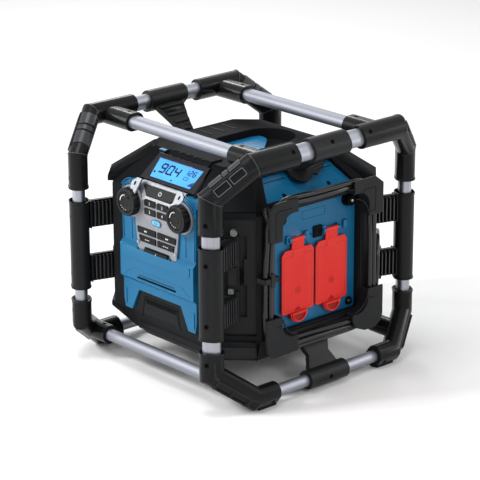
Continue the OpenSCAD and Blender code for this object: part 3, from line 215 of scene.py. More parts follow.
def backlit(name, colour, strength, edge):
    """The display's lit film, whose light is a little uneven."""
    m, tree, shader = paint(name)
    spots = node(tree, "TexNoise", {"Vector": object_point(tree), "Scale": 26.0, "Detail": 1.0})
    mix = node(tree, "Mix", {"Factor": spots.outputs["Fac"], "A": (*colour, 1), "B": (*edge, 1)},
               data_type="RGBA")
    fill(tree, shader, {"Base Color": mix.outputs["Result"], "Emission Color": mix.outputs["Result"],
                        "Emission Strength": strength, "Roughness": 0.12})
    return m


BLACK = (0.0085, 0.009, 0.0098)
BLUE_RUBBED = (0.05, 0.26, 0.42)
GLOSSY = {"scuffs": 0.05, "edges": 0.3, "mottle": 0.08}
nylon = moulded("cage_nylon", (0.0062, 0.0065, 0.0072), (0.09, 0.095, 0.1), 0.23, specular=0.13)
# a lighter copy of the cage nylon: painted sheen on the slanting legs' raised segments
nylon_painted_sheen = moulded("cage_nylon_sheen", (0.024, 0.025, 0.029), (0.13, 0.135, 0.15), 0.32, specular=0.3)
nylon_ribs = moulded("bracket_nylon", (0.0072, 0.0075, 0.0082), (0.07, 0.075, 0.08), 0.36)
shell_black = moulded("shell_black", BLACK, (0.05, 0.05, 0.055), 0.46, grain=1100.0, relief=0.5,
                      specular=0.07)
guard_black = moulded("guard_black", BLACK, (0.07, 0.07, 0.075), 0.45, specular=0.05)
cover_black = moulded("cover_black", BLACK, (0.05, 0.05, 0.055), 0.52, specular=0.016)
hook_grey = moulded("hook_grey", (0.0108, 0.0114, 0.0124), (0.09, 0.09, 0.095), 0.38, relief=0.4,
                    specular=0.1)
grille_black = moulded("grille_black", BLACK, (0.05, 0.05, 0.05), 0.42, grain=900.0, relief=0.6)
# a painted glint: light lines on the bracket ribs' edges and along the legs' mitres stand in for highlights
painted_glint = moulded("painted_glint", (0.05, 0.052, 0.055), (0.15, 0.15, 0.16), 0.35, relief=0.1, specular=0.3)
# light grey: the bracket bolts' own colour, and a painted highlight on the rims of the slanting legs'
# windows
bolt_grey_and_highlight = moulded("bolt_grey_and_highlight", (0.14, 0.143, 0.15), (0.3, 0.3, 0.31), 0.3, relief=0.1, specular=0.4)
shell_blue = moulded("shell_blue", (0.0035, 0.122, 0.262), BLUE_RUBBED, 0.3, specular=0.22, **GLOSSY)
# a darker copy of the shell's blue: painted shade on the outlet panel and side slopes, which face away from
# the key light
panel_blue_painted_shade = moulded("panel_blue_painted_shade", (0.003, 0.098, 0.215), BLUE_RUBBED, 0.3, specular=0.2, **GLOSSY)
lacquer = moulded("plate_lacquer", (0.222, 0.231, 0.255), (0.72, 0.73, 0.75), 0.36, grain=2600.0,
                  relief=0.1, mottle=0.05, scuffs=0.06, edges=0.3, coat=0.1, metallic=0.35, specular=0.35)
key_rubber = moulded("key_rubber", (0.004, 0.004, 0.0045), (0.03, 0.03, 0.03), 0.36, grain=2000.0,
                     specular=0.12)
knob_rubber = moulded("knob_rubber", (0.006, 0.006, 0.007), (0.06, 0.06, 0.06), 0.3, specular=0.17)
gloss_bezel = moulded("gloss_bezel", (0.009, 0.0095, 0.0125), (0.05, 0.05, 0.05), 0.18, relief=0.05,
                      coat=0.15, scuffs=0.04, edges=0.2)
flap_red = moulded("flap_red", (0.62, 0.014, 0.009), (0.8, 0.16, 0.11), 0.34, specular=0.22, **GLOSSY)
# dark red: the flaps' own printed signs, and painted shade in the hollow of each pull tab's cup
flap_print_and_shade = moulded("flap_print_and_shade", (0.22, 0.006, 0.004), (0.4, 0.05, 0.03), 0.45, edges=0.2)
cord_rubber = moulded("cord_rubber", (0.0062, 0.0062, 0.0068), (0.05, 0.05, 0.05), 0.22, grain=1800.0,
                      specular=0.38)
socket_grey = moulded("socket_grey", (0.02, 0.021, 0.023), (0.09, 0.09, 0.09), 0.45)
void_black = moulded("void_black", (0.0018, 0.0018, 0.002), (0.01, 0.01, 0.01), 0.6, edges=0.1,
                     specular=0.05)
board_green = moulded("board_green", (0.008, 0.06, 0.03), (0.3, 0.25, 0.08), 0.35, scuffs=0.2)
cone_paper = moulded("cone_paper", (0.018, 0.018, 0.018), (0.05, 0.05, 0.05), 0.75, grain=700.0, relief=0.8)
white_print = moulded("white_print", (0.72, 0.73, 0.74), (0.8, 0.8, 0.8), 0.5, mottle=0.05, edges=0.0)
# dark blue: print on the display and the walls, and painted shade in the belly's slot
dark_print_and_shade = moulded("dark_print_and_shade", (0.002, 0.01, 0.026), (0.01, 0.03, 0.06), 0.4, mottle=0.05, edges=0.0)
pale_blue = moulded("pale_blue", (0.12, 0.38, 0.62), (0.5, 0.7, 0.85), 0.3, coat=0.3, edges=0.2,
                    specular=0.4)
bright_steel = moulded("bright_steel", (0.42, 0.42, 0.44), (0.75, 0.74, 0.7), 0.27, metallic=1.0,
                       relief=0.1)
# three copies of one aluminium: the rails and crossbars painted darker than the posts, as painted shade
# that holds down the lamps' light on them
tube_rail = drawn_metal("tube_rail", (0.31, 0.322, 0.362), 1, roughness=0.5)
tube_bar = drawn_metal("tube_bar", (0.275, 0.286, 0.323), 0, roughness=0.58)
tube_post = drawn_metal("tube_post", (0.34, 0.352, 0.39), 2)
display_film = backlit("display_film", (0.035, 0.23, 0.66), 0.42, (0.06, 0.34, 0.8))


def stand(name, data):
    made = bpy.data.objects.new(name, data)
    bpy.context.scene.collection.objects.link(made)
    return made


# ---------- camera ----------
AIM = (-2.5, -3.3, 187.2)
AZIMUTH, ELEVATION, ROLL = (radians(a) for a in (47.98, 18.86, -0.21))
AWAY, LENS, SENSOR = 3.491, 167.9, 36

camera = stand("camera", bpy.data.cameras.new("camera"))
back = Vector((sin(AZIMUTH) * cos(ELEVATION), -cos(AZIMUTH) * cos(ELEVATION), sin(ELEVATION)))
camera.location = Vector(AIM) * MM + back * AWAY
camera.rotation_mode = "QUATERNION"
camera.rotation_quaternion = (-back).to_track_quat("-Z", "Y") @ Quaternion((0, 0, 1), ROLL)
camera.data.lens = LENS
camera.data.sensor_width = SENSOR
camera.data.clip_end = 20
bpy.context.scene.camera = camera


# ---------- making pieces ----------
def solid(name, bm, finish):
    mesh = bpy.data.meshes.new(name)
    bm.to_mesh(mesh)
    bm.free()
    mesh.materials.append(finish)
    return stand(name, mesh)


def round_edges(piece, width, segments, **limits):
    rounding = piece.modifiers.new("rounding", "BEVEL")
    rounding.width, rounding.segments, rounding.harden_normals = width * MM, segments, True
    for key, value in limits.items():
        setattr(rounding, key, value)


def add_piece(name, bm, finish, body=BODY, at=None, soften=0.0, segments=2):
    """Turns a bmesh into a piece of the radio: faces smooth except over sharp edges, and edges rounded."""
    if at is not None:
        bmesh.ops.transform(bm, matrix=at, verts=bm.verts)
    bmesh.ops.recalc_face_normals(bm, faces=bm.faces)
    for f in bm.faces:
        f.smooth = True
    for e in bm.edges:
        e.smooth = not (len(e.link_faces) == 2 and e.calc_face_angle(0) > SMOOTH_OVER)
    piece = solid(name, bm, finish)
    if soften:
        round_edges(piece, soften, segments, limit_method="ANGLE", angle_limit=SMOOTH_OVER)
    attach(piece, body)
    return piece


def block(bm, x0, x1, y0, y1, z0, z1):
    made = bmesh.ops.create_cube(bm, size=1.0)["verts"]
    size = Matrix.Diagonal((x1 - x0, y1 - y0, z1 - z0, 1))
    centre = Matrix.Translation(((x0 + x1) / 2, (y0 + y1) / 2, (z0 + z1) / 2))
    bmesh.ops.transform(bm, matrix=centre @ size, verts=made)


def post(bm, x, y, r, z0, z1, sides=32, top=None):
    """A round peg that stands on the surface, tapered where its top has another radius."""
    made = bmesh.ops.create_cone(bm, cap_ends=True, segments=sides, radius1=r,
                                 radius2=r if top is None else top, depth=z1 - z0)["verts"]
    bmesh.ops.translate(bm, vec=(x, y, (z0 + z1) / 2), verts=made)


def pulled(bm, corners, way):
    """The face with these corners, pulled out into a solid."""
    face = bm.faces.new([bm.verts.new(c) for c in corners])
    grown = bmesh.ops.extrude_face_region(bm, geom=[face])["geom"]
    bmesh.ops.translate(bm, vec=way, verts=[v for v in grown if isinstance(v, bmesh.types.BMVert)])


def plate(bm, corners, z0, z1):
    """A flat plate of the given outline, from z0 to z1."""
    pulled(bm, [(x, y, z0) for x, y in corners], (0, 0, z1 - z0))


def hoop(bm, x, y, r, wide, z0, z1, sides=48):
    """A ring of square section, lathed about an axis that stands on the surface."""
    ring = [bm.verts.new((x + a, y, z)) for a, z in
            ((r - wide / 2, z0), (r + wide / 2, z0), (r + wide / 2, z1), (r - wide / 2, z1))]
    edges = [bm.edges.new((ring[i], ring[(i + 1) % 4])) for i in range(4)]
    bmesh.ops.spin(bm, geom=ring + edges, cent=(x, y, 0), axis=(0, 0, 1), angle=tau, steps=sides,
                   use_merge=True)


def arc_bar(bm, x, y, r, wide, start, end, z0, z1, steps=14):
    """Part of a ring, such as a printed arc."""
    a = radians(start)
    ends = [Vector((x + (r + s * wide / 2) * cos(a), y + (r + s * wide / 2) * sin(a), z))
            for s, z in ((-1, z0), (1, z0), (1, z1), (-1, z1))]
    face = bm.faces.new([bm.verts.new(p) for p in ends])
    bmesh.ops.spin(bm, geom=[face, *face.edges, *face.verts], cent=(x, y, 0), axis=(0, 0, 1),
                   angle=radians(end - start), steps=steps)


def softened(name, width, finish, segments=2, shortest=2.0, body=BODY):
    """A CAD node's copy with its outer edges rounded off, as they leave a mould. It stands for the node."""
    bm = bmesh.new()
    bm.from_mesh(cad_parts[name].data)
    bmesh.ops.remove_doubles(bm, verts=bm.verts, dist=0.01 * MM)
    bmesh.ops.dissolve_limit(bm, angle_limit=radians(1.5), verts=bm.verts, edges=bm.edges)
    weight = bm.edges.layers.float.new("bevel_weight_edge")
    for e in bm.edges:
        turned = len(e.link_faces) == 2 and e.calc_face_angle(0) > CAD_SMOOTH_OVER
        e[weight] = float(turned and e.is_convex and e.calc_length() > shortest * width * MM)
        e.smooth = not turned
    for f in bm.faces:
        f.smooth = True
    piece = solid("soft_" + name, bm, finish)
    round_edges(piece, width, segments, limit_method="WEIGHT", use_clamp_overlap=False)
    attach(piece, body)
    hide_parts(name)
    return piece


def coated(name, finish):
    """A CAD node that keeps its own mesh and takes this finish."""
    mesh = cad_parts[name].data
    for i in range(len(mesh.materials)):
        mesh.materials[i] = finish
    if not mesh.materials:
        mesh.materials.append(finish)


# ---------- power cord ----------
CORD_D = 8.0
RING_HALF, RING_LOW, RING_HIGH, RING_BEND = 93.5, 94.0, 296.0, 26.4
MEAN_OFFSET = 12        # of the strands, which shares out the bends' lengths
TURNS = 2.5
TAIL_TURN, TAIL_X, TAIL_Y, TAIL_Z = 34.0, 176.9, 119.05, 200.0
PLUG_Y = 180.6
# how far outside the frame's wall the strands lie, by turns wound
WOUND = ((0, 6.2), (0.72, 6.4), (0.85, 6.6), (0.97, 9.6), (1.1, 12.3), (1.3, 12.6), (1.43, 14.4),
         (1.62, 14.4), (1.72, 13.9), (1.85, 14.6), (1.97, 18.6), (2.12, 20.3), (2.6, 20.3))
# how deep they lie between the wall and the hooks
DEPTH = ((0, 174.15), (0.28, 174.15), (0.42, 179.8), (0.6, 179.8), (0.71, 175.4), (0.83, 179.8),
         (2.0, 179.8), (2.16, 177.0), (2.6, 176.9))
# and how far each turn bows out on the left side
BOW = (0.4, 1.4, 2.4)
FIRST_TURN, TURN_STEP = 0.035, 0.0105
LEAVES_FROM, LEAVES_OVER = 104, 52      # heights over which the last strand leaves the others


def eased(stops, t):
    """The value at t between listed stops, without corners."""
    for (t0, v0), (t1, v1) in zip(stops, stops[1:]):
        if t <= t1:
            u = max(0.0, (t - t0) / (t1 - t0))
            return v0 + (v1 - v0) * u * u * (3 - 2 * u)
    return stops[-1][1]


def ring_line(offset, share):
    """A point at a share of the way round the cord frame, this far outside its wall: from the top left
    corner down, along the bottom, up the right side and back."""
    r = RING_BEND + offset
    half, low, high = RING_HALF + offset, RING_LOW - offset, RING_HIGH + offset
    down, level = RING_HIGH - RING_LOW - 2 * RING_BEND, 2 * (RING_HALF - RING_BEND)
    bend = pi / 2 * (RING_BEND + MEAN_OFFSET)
    way = [down, bend, level, bend] * 2
    s = (share % 1.0) * sum(way)
    centres = {1: (-half + r, low + r, 180), 3: (half - r, low + r, 270), 5: (half - r, high - r, 0),
               7: (-half + r, high - r, 90)}
    k = 0
    while s > way[k] and k < 7:
        s -= way[k]
        k += 1
    if k in centres:
        y, z, start = centres[k]
        a = radians(start + 90 * s / bend)
        return y + r * cos(a), z + r * sin(a)
    return [(-half, high - r - s), None, (-half + r + s, low), None, (half, low + r + s), None,
            (half - r - s, high)][k]


def cord_route():
    """Points along the lead: out of the body, round the hooks, and round the rear corner to the plug."""
    points = [(168.4, -106.9, 303), (170.0, -105.8, 294), (171.2, -104.6, 286), (172.0, -103.5, 278),
              (172.6, -102.5, 269), (173.3, -101.4, 259)]
    t = FIRST_TURN
    while t < TURNS + 0.1:
        y, z = ring_line(eased(WOUND, t), t)
        x = eased(DEPTH, t)
        if y < -80 and RING_LOW < z < RING_HIGH:
            y -= BOW[int(t + 0.3)] * sin(pi * (z - RING_LOW) / (RING_HIGH - RING_LOW))
        if y > 90 and t > 2.3:
            if z > TAIL_Z - TAIL_TURN - 3:
                break
            blend = min(1.0, max(0.0, (z - LEAVES_FROM) / LEAVES_OVER))
            y += (TAIL_Y - y) * blend * blend * (3 - 2 * blend)
        points.append((x, y, z))
        t += TURN_STEP
    lean = sqrt(0.5) * TAIL_TURN
    for i in range(10):
        a = radians(10 * i)
        out = lean * (1 - cos(a))
        points.append((TAIL_X - out, TAIL_Y + out, TAIL_Z - TAIL_TURN + TAIL_TURN * sin(a)))
    x, y, z = points[-1]
    run = PLUG_Y - lean - y
    for i in (1, 2, 3):
        points.append((x - run * i / 3, y + run * i / 3, z))
    x, y, z = points[-1]
    for i in range(1, 10):
        a = radians(10 * i)
        points.append((x - lean * sin(a), y + lean * sin(a), z - TAIL_TURN * (1 - cos(a))))
    return points


route = cord_route()
line = bpy.data.curves.new("power_lead", "CURVE")
line.dimensions = "3D"
spline = line.splines.new("NURBS")
spline.points.add(len(route) - 1)
for point, place in zip(spline.points, route):
    point.co = (*(Vector(place) * MM), 1)
spline.order_u = 4
spline.use_endpoint_u = True
spline.resolution_u = 2
line.bevel_depth = CORD_D / 2 * MM
line.bevel_resolution = 4
line.use_fill_caps = True
line.materials.append(cord_rubber)
lead = stand("power_lead", line)
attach(lead, BODY)
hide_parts("power_cord", "cord_tail")


def strain_relief():
    """Tapered boot with rings, over the first stretch of the lead."""
    bm = bmesh.new()
    start, end = Vector((168.9, -106.6, 300.5)), Vector((172.2, -103.2, 276))
    length = (end - start).length
    for i in range(6):
        a, b = length * i / 6, length * (i + 0.72) / 6
        r = 6.6 - 1.6 * i / 6
        post(bm, 0, 0, r, a, b, sides=28)
        post(bm, 0, 0, r - 0.8, b - 0.2, length * (i + 1) / 6 + 0.2, sides=28)
    turn = (end - start).to_track_quat("Z", "Y").to_matrix().to_4x4()
    return add_piece("strain_relief", bm, cord_rubber,
                     at=RADIO @ Matrix.Translation(start) @ turn, soften=0.3)


def cord_clip():
    """Moulded clip that holds the strands together half-way down the left side."""
    bm = bmesh.new()
    block(bm, 168.0, 169.9, -124, -98.5, 191, 199)
    block(bm, 184.0, 186.0, -124, -95, 191, 199)
    for y0, y1 in ((-124.5, -122), (-97, -94.5)):
        block(bm, 168.0, 186.0, y0, y1, 191, 199)
    block(bm, 185, 187.2, -112, -104, 184, 206)
    add_piece("cord_clip", bm, nylon_ribs, at=RADIO, soften=0.5)


relief = strain_relief()
cord_clip()
plug = softened("cord_plug", 0.8, cord_rubber)


# ---------- cage ----------
for corner in CORNERS:
    softened("joint_top_" + corner, 1.3, nylon, segments=3)
    softened("joint_bottom_" + corner, 1.3, nylon, segments=3)
    softened("bracket_" + corner, 0.7, nylon_ribs)
    coated("post_" + corner, tube_post)
softened("straps_top", 1.0, nylon_ribs)
softened("straps_bottom", 1.0, nylon_ribs)
coated("cage_screws", void_black)


def banded_tubes(node_name, split):
    """The rails and crossbars are one node, so their two directions of drawing lines are two slots."""
    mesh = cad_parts[node_name].data
    coated(node_name, tube_rail)
    mesh.materials.append(tube_bar)
    for polygon in mesh.polygons:
        if abs(polygon.center.x) < split:
            polygon.material_index = len(mesh.materials) - 1


banded_tubes("tubes_top", 0.155)
banded_tubes("tubes_bottom", 0.158)


# ---------- body ----------
for shell, round_off, finish, segments in (
        ("housing", 1.2, shell_black, 3), ("top_cover", 1.2, cover_black, 3),
        ("base_pan", 1.5, shell_black, 3), ("front_panel", 0.9, shell_blue, 2),
        ("keypad_plate", 0.6, lacquer, 2), ("display_bezel", 0.8, gloss_bezel, 2),
        ("outlet_panel", 0.6, panel_blue_painted_shade, 2), ("slope_panels", 0.4, panel_blue_painted_shade, 2),
        ("top_tray", 0.6, shell_blue, 2), ("cord_frame", 1.2, hook_grey, 3),
        ("side_panel", 0.8, shell_black, 2), ("rear_panel", 0.8, shell_blue, 2),
        ("speaker_grilles", 0.4, grille_black, 2)):
    softened(shell, round_off, finish, segments=segments)
for inner, finish in (("outlet_sockets", socket_grey), ("display", display_film),
                      ("main_board", board_green), ("corner_speakers", cone_paper),
                      ("woofer", cone_paper), ("body_screws", void_black), ("power_supply", socket_grey)):
    coated(inner, finish)
for cap in ("power_button", "preset_1", "preset_2", "preset_3", "preset_4", "skip_back", "skip_forward",
            "source_button", "sound_button", "menu_button"):
    softened(cap, 0.5, key_rubber, body=cap)
for knob in ("volume_knob", "tuning_knob"):
    softened(knob, 0.5, knob_rubber, body=knob, shortest=1.2)
for cover, round_off, finish in (("flap_left", 0.8, flap_red), ("flap_right", 0.8, flap_red),
                                 ("media_door", 0.5, cover_black), ("battery_door", 1.0, shell_black)):
    softened(cover, round_off, finish, body=cover)


# ---------- printed and small moulded parts ----------
def reach(name, place):
    """How far a node stands out of a surface, in mm."""
    into = place.inverted()
    return max((into @ v.co).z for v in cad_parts[name].data.vertices)


def middle(name, place):
    """The middle of a node's outermost face, in mm."""
    into = place.inverted()
    spots = [into @ v.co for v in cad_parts[name].data.vertices]
    top = max(v.z for v in spots)
    face = [v for v in spots if v.z > top - 0.3]
    return [(min(v[k] for v in face) + max(v[k] for v in face)) / 2 for k in (0, 1)] + [top]


def strip(bm, a, b, wide, z0, z1):
    """A straight bar between two points of a surface."""
    a, b = Vector(a), Vector(b)
    along = (b - a).normalized() * wide / 2
    side = Vector((-along.y, along.x))
    plate(bm, [a - side, b - side, b + side, a + side], z0, z1)


def outline(bm, corners, wide, z0, z1, closed=True):
    ends = list(corners) + ([corners[0]] if closed else [])
    for a, b in zip(ends, ends[1:]):
        strip(bm, a, b, wide, z0, z1)


def rounded(x, y, w, h, r, steps=5):
    """The corners of a rectangle with rounded ends."""
    found = []
    for k, (sx, sy) in enumerate(((1, 1), (-1, 1), (-1, -1), (1, -1))):
        for i in range(steps + 1):
            a = radians(90 * k + 90 * i / steps)
            found.append((x + sx * (w / 2 - r) + r * cos(a), y + sy * (h / 2 - r) + r * sin(a)))
    return found


# the bars that each figure lights, and the figures' lean
LIT = {"0": "abcdef", "1": "bc", "2": "abged", "4": "fgbc", "6": "afgedc", "9": "abcdfg"}
LEAN = 0.12


def lit_figure(bm, figure, x, y, w, h, wide, z0, z1):
    """A figure of seven bars, as a segment display shows it."""
    ends = {"a": (0, h, w, h), "b": (w, h, w, h / 2), "c": (w, h / 2, w, 0), "d": (0, 0, w, 0),
            "e": (0, h / 2, 0, 0), "f": (0, h, 0, h / 2), "g": (0, h / 2, w, h / 2)}
    for bar in LIT[figure]:
        x0, y0, x1, y1 = ends[bar]
        a, b = Vector((x + x0 + LEAN * y0, y + y0)), Vector((x + x1 + LEAN * y1, y + y1))
        short = (b - a).normalized() * wide * 0.1
        strip(bm, a + short, b - short, wide, z0, z1)


def screw_head(bm, x, y, r, z0, z1):
    """Domed head with a hexagonal socket."""
    post(bm, x, y, r, z0, z1, sides=24, top=r * 0.86)
    post(bm, x, y, r * 0.5, z1 - 0.02, z1 + 0.04, sides=6)


def printed_number(name, figure, size, finish, body, at):
    curve = bpy.data.curves.new(name, "FONT")
    curve.body, curve.size, curve.extrude = figure, size, PRINT / 2
    curve.align_x = curve.align_y = "CENTER"
    drawn = stand(name, curve)
    flat = bpy.data.meshes.new_from_object(drawn.evaluated_get(bpy.context.evaluated_depsgraph_get()))
    bpy.data.objects.remove(drawn)
    bpy.data.curves.remove(curve)
    bm = bmesh.new()
    bm.from_mesh(flat)
    bpy.data.meshes.remove(flat)
    add_piece(name, bm, finish, body=body, at=at)


def display_figures():
    """The display's large and small figures, its battery sign and its signal bars."""
    z = reach("display", FRONT_SLOPE)
    top = z + LCD_PRINT
    bm = bmesh.new()
    for k, figure in enumerate("904"):
        lit_figure(bm, figure, -35.5 + 15.5 * k, 40.5, 10.2, 14.8, 2.9, z, top)
    post(bm, -7.4, 40.3, 1.6, z, top)
    for k, figure in enumerate("126"):
        lit_figure(bm, figure, 17.5 + 8.6 * k, 49.0, 5.2, 8.4, 1.6, z, top)
    post(bm, -43, 38.5, 2.1, z, top)
    outline(bm, rounded(25.5, 42.5, 9, 4.6, 1.2, 2), 0.9, z, top)
    block(bm, -2, 2.6, 31.6, 33.4, z, top)
    for k in range(4):
        block(bm, 37 + 2.4 * k, 38.8 + 2.4 * k, 32.4, 34.4 + 2.2 * k, z, top)
    add_piece("display_figures", bm, dark_print_and_shade, at=FRONT_SLOPE)


def power_sign():
    x, y, z = middle("power_button", KEY_SLOPE)
    bm = bmesh.new()
    arc_bar(bm, x, y, 3.0, 0.8, 125, 415, z, z + PRINT, steps=24)
    block(bm, x - 0.4, x + 0.4, y + 0.6, y + 4.0, z, z + PRINT)
    add_piece("power_sign", bm, white_print, body="power_button", at=KEY_SLOPE)


def key_prints():
    """Numbers on the preset keys, paired triangles on the skip keys and plain bars on the others."""
    for k in "1234":
        x, y, z = middle("preset_" + k, KEYS)
        printed_number("number_" + k, k, 7.0, white_print, "preset_" + k,
                       KEYS @ Matrix.Translation((x, y, z + 0.05)))
    for cap, way in (("skip_back", -1), ("skip_forward", 1)):
        x, y, z = middle(cap, KEYS)
        bm = bmesh.new()
        for k in (0, 1):
            foot = x + way * (0.2 + 3.2 * k) - way * 1.6
            plate(bm, [(foot, y - 1.7), (foot, y + 1.7), (foot + way * 3.2, y)][::way], z, z + PRINT)
        add_piece(cap + "_sign", bm, white_print, body=cap, at=KEYS)
    for cap, wide in (("source_button", 7), ("sound_button", 9)):
        x, y, z = middle(cap, KEYS)
        bm = bmesh.new()
        for k in range(3):
            centre = x + (k - 1) * wide / 2
            block(bm, centre - wide / 6, centre + wide / 6, y - 0.5, y + 0.5, z, z + PRINT)
        add_piece(cap + "_marks", bm, white_print, body=cap, at=KEYS)
    x, y, z = middle("menu_button", KEYS)
    bm = bmesh.new()
    block(bm, x - 0.5, x + 0.5, y - 2.2, y + 2.2, z, z + PRINT)
    add_piece("menu_mark", bm, white_print, body="menu_button", at=KEYS)


def knob_prints():
    """Each knob's printed scale, and the rings on its face."""
    for side, knob in ((-1, "volume_knob"), (1, "tuning_knob")):
        x, y, z = KNOB_X * side, KNOB_Z, reach(knob, KEYS)
        bm = bmesh.new()
        arc_bar(bm, x, y, SCALE_R, 1.3, 96, 176, z, z + PRINT)
        plate(bm, [(x - 3.2, y + 11.4), (x - 0.9, y + 9.4), (x - 0.6, y + 12.9)], z, z + PRINT)
        for a in (215, 235, 255, 275):
            turn = radians(a)
            post(bm, x + SCALE_R * cos(turn), y + SCALE_R * sin(turn), 0.7, z, z + PRINT, sides=12)
        add_piece(knob + "_scale", bm, white_print, body=knob, at=KEYS)
        bm = bmesh.new()
        hoop(bm, x, y, 15.2, 1.0, z - 0.2, z + 0.4, sides=64)
        hoop(bm, x, y, 6.2, 0.5, z - 0.2, z + 0.2, sides=48)
        add_piece(knob + "_rings", bm, key_rubber, body=knob, at=KEYS, soften=0.15)


def phone_window():
    """The pale window in the key plate, its rim and the plain sign on it."""
    z = reach("keypad_plate", KEYS)
    bm = bmesh.new()
    plate(bm, rounded(*WINDOW, 19, 7.4, 3.6), z - 0.3, z + 0.7)
    add_piece("phone_window", bm, pale_blue, at=KEYS, soften=0.3)
    bm = bmesh.new()
    outline(bm, rounded(*WINDOW, 20.6, 9, 4.4), 0.8, z - 0.2, z + 0.5)
    outline(bm, rounded(*WINDOW, 6, 2.6, 1.0, 3), 0.7, z + 0.7, z + 0.85)
    add_piece("phone_window_rim", bm, shell_blue, at=KEYS)


def plate_screws():
    """The key plate's two bright lower screws, and its two dark upper ones."""
    z = reach("keypad_plate", KEYS)
    bm = bmesh.new()
    for x in (-43.2, 43.2):
        screw_head(bm, x, 214.5, 2.3, z - 0.3, z + 0.8)
    add_piece("plate_screws_low", bm, bright_steel, at=KEYS, soften=0.2)
    z = reach("keypad_plate", KEY_SLOPE)
    bm = bmesh.new()
    for x in (-51, 51):
        plate(bm, rounded(x, 18.5, 3.8, 6.6, 1.8), z - 0.2, z + 0.45)
    add_piece("plate_screws_high", bm, void_black, at=KEY_SLOPE, soften=0.15)


def plate_shoulders():
    """The key plate's wide upper shoulders."""
    z = reach("keypad_plate", KEY_SLOPE)
    shoulder = [(41.6, 28.4), (52, 28.2), (59, 21.5), (60, 17.5), (57.5, 8), (49, 3), (42.6, 3)]
    bm = bmesh.new()
    for s in (-1, 1):
        plate(bm, [(s * x, y) for x, y in shoulder], z - 3, z + 0.2)
    add_piece("plate_shoulders", bm, lacquer, at=KEY_SLOPE, soften=0.6)


def front_ridges():
    """Arcs about the knobs and ridges down both sides of the front."""
    bm = bmesh.new()
    for s in (-1, 1):
        for r, z1, low, high in ((27.6, 2.4, 28, 88), (31.0, 1.6, 36, 82), (34.4, 0.9, 36, 82)):
            start, end = (low, high) if s > 0 else (180 - high, 180 - low)
            arc_bar(bm, KNOB_X * s, KNOB_Z, r, 1.5, start, end, -1.0, z1, steps=18)
        strip(bm, (s * 82.5, 212), (s * 82.5, 262), 1.8, -1.0, 1.4)
        block(bm, s * 79.5 - 1.7, s * 79.5 + 1.7, 105, 130, -1.0, 1.3)
        strip(bm, (s * 62.5, 214), (s * 62.5, 246), 2.0, -0.5, 1.1)
    add_piece("front_ridges", bm, shell_blue, at=SKIN, soften=0.45, segments=3)


def belly_relief():
    """The raised band and lines on the belly, and painted shade in its slot."""
    z = reach("front_panel", BELLY)
    bm = bmesh.new()
    plate(bm, [(-74, 186), (74, 186), (78, 190), (78, 203), (-78, 203), (-78, 190)], z - 0.3, z + 0.9)
    for s in (-1, 1):
        strip(bm, (s * 76, 156), (s * 58, 168), 1.0, z - 0.3, z + 0.6)
    strip(bm, (-58, 168), (58, 168), 1.0, z - 0.3, z + 0.6)
    add_piece("belly_relief", bm, shell_blue, at=BELLY, soften=0.45, segments=3)
    # two dark lines along the slot's edges: painted shade standing in for the slot's depth
    bm = bmesh.new()
    for y in (158.4, 161.6):
        strip(bm, (-40, y), (42, y), 1.2, z - 0.3, z + 0.12)
    add_piece("belly_slot_shade", bm, dark_print_and_shade, at=BELLY)


def label_field():
    """The bare field low on the front, the groove round it, and painted shade along the top of the field.
    """
    bm = bmesh.new()
    plate(bm, [(-41, 96), (41, 96), (36.5, 121.5), (-36.5, 121.5)], -0.3, 0.7)
    add_piece("label_field", bm, shell_black, at=HOUSE, soften=0.35)
    bm = bmesh.new()
    outline(bm, [(-44.5, 92), (-39, 125), (39, 125), (44.5, 92)], 1.4, -0.3, 0.18, closed=False)
    # a dark band along the top of the field: painted shadow of the recess's upper edge
    plate(bm, [(-36.5, 121.5), (-35.5, 114.5), (35.5, 114.5), (36.5, 121.5)], 0.2, 0.85)
    add_piece("label_groove_and_shade", bm, void_black, at=HOUSE)


def guard_ridges():
    """A ridge on each side of the display, inside the guard."""
    bm = bmesh.new()
    for s in (-1, 1):
        strip(bm, (s * 65, 14), (s * 60, 52), 1.6, -1.5, 2.2)
    add_piece("guard_ridges", bm, hook_grey, at=FRONT_SLOPE, soften=0.5)


def hook_trim():
    """Grooves in the hook plates, and lips round their curved edges."""
    bm = bmesh.new()
    outline(bm, [(-72, 300), (-100, 300.4), (-104, 296.5), (-104, 258)], 1.1, -0.3, 0.14, closed=False)
    outline(bm, rounded(89.5, 278, 26, 37, 2.5, 3), 1.1, -0.3, 0.14)
    strip(bm, (91.5, 120.3), (102.5, 118.9), 1.6, -0.3, 0.14)
    strip(bm, (-100, 121), (-91, 120), 1.2, -0.3, 0.14)
    add_piece("hook_grooves", bm, void_black, at=HOOKS)
    bm = bmesh.new()
    for y, z, r, wide, start, end in ((57, 133, 31.9, 1.4, 275, 355), (-57, 133, 31.9, 1.4, 187, 262),
                                      (57, 254, 30.8, 1.3, 8, 82)):
        arc_bar(bm, y, z, r, wide, start, end, -1.0, 0.7, steps=24)
    add_piece("hook_lips", bm, hook_grey, at=HOOKS, soften=0.3)


def panel_bosses():
    """The outlet panel's bosses, tall above the flaps and low below them, with their screws."""
    high, low = ((-74, 277), (70, 277)), ((-76, 111), (76, 111))
    bm = bmesh.new()
    for y, z in high:
        post(bm, y, z, 8.5, 0.2, 13, sides=40)
        post(bm, y, z, 10.5, 0.2, 4, sides=40)
    for y, z in low:
        post(bm, y, z, 6.5, 0.2, 2.5, sides=40)
    add_piece("panel_bosses", bm, void_black, at=OUTLETS, soften=0.5)
    bm = bmesh.new()
    for y, z in high:
        screw_head(bm, y, z, 2.6, 12.8, 13.8)
    for y, z in low:
        screw_head(bm, y, z, 2.6, 2.4, 3.2)
    add_piece("boss_screws", bm, bright_steel, at=OUTLETS)


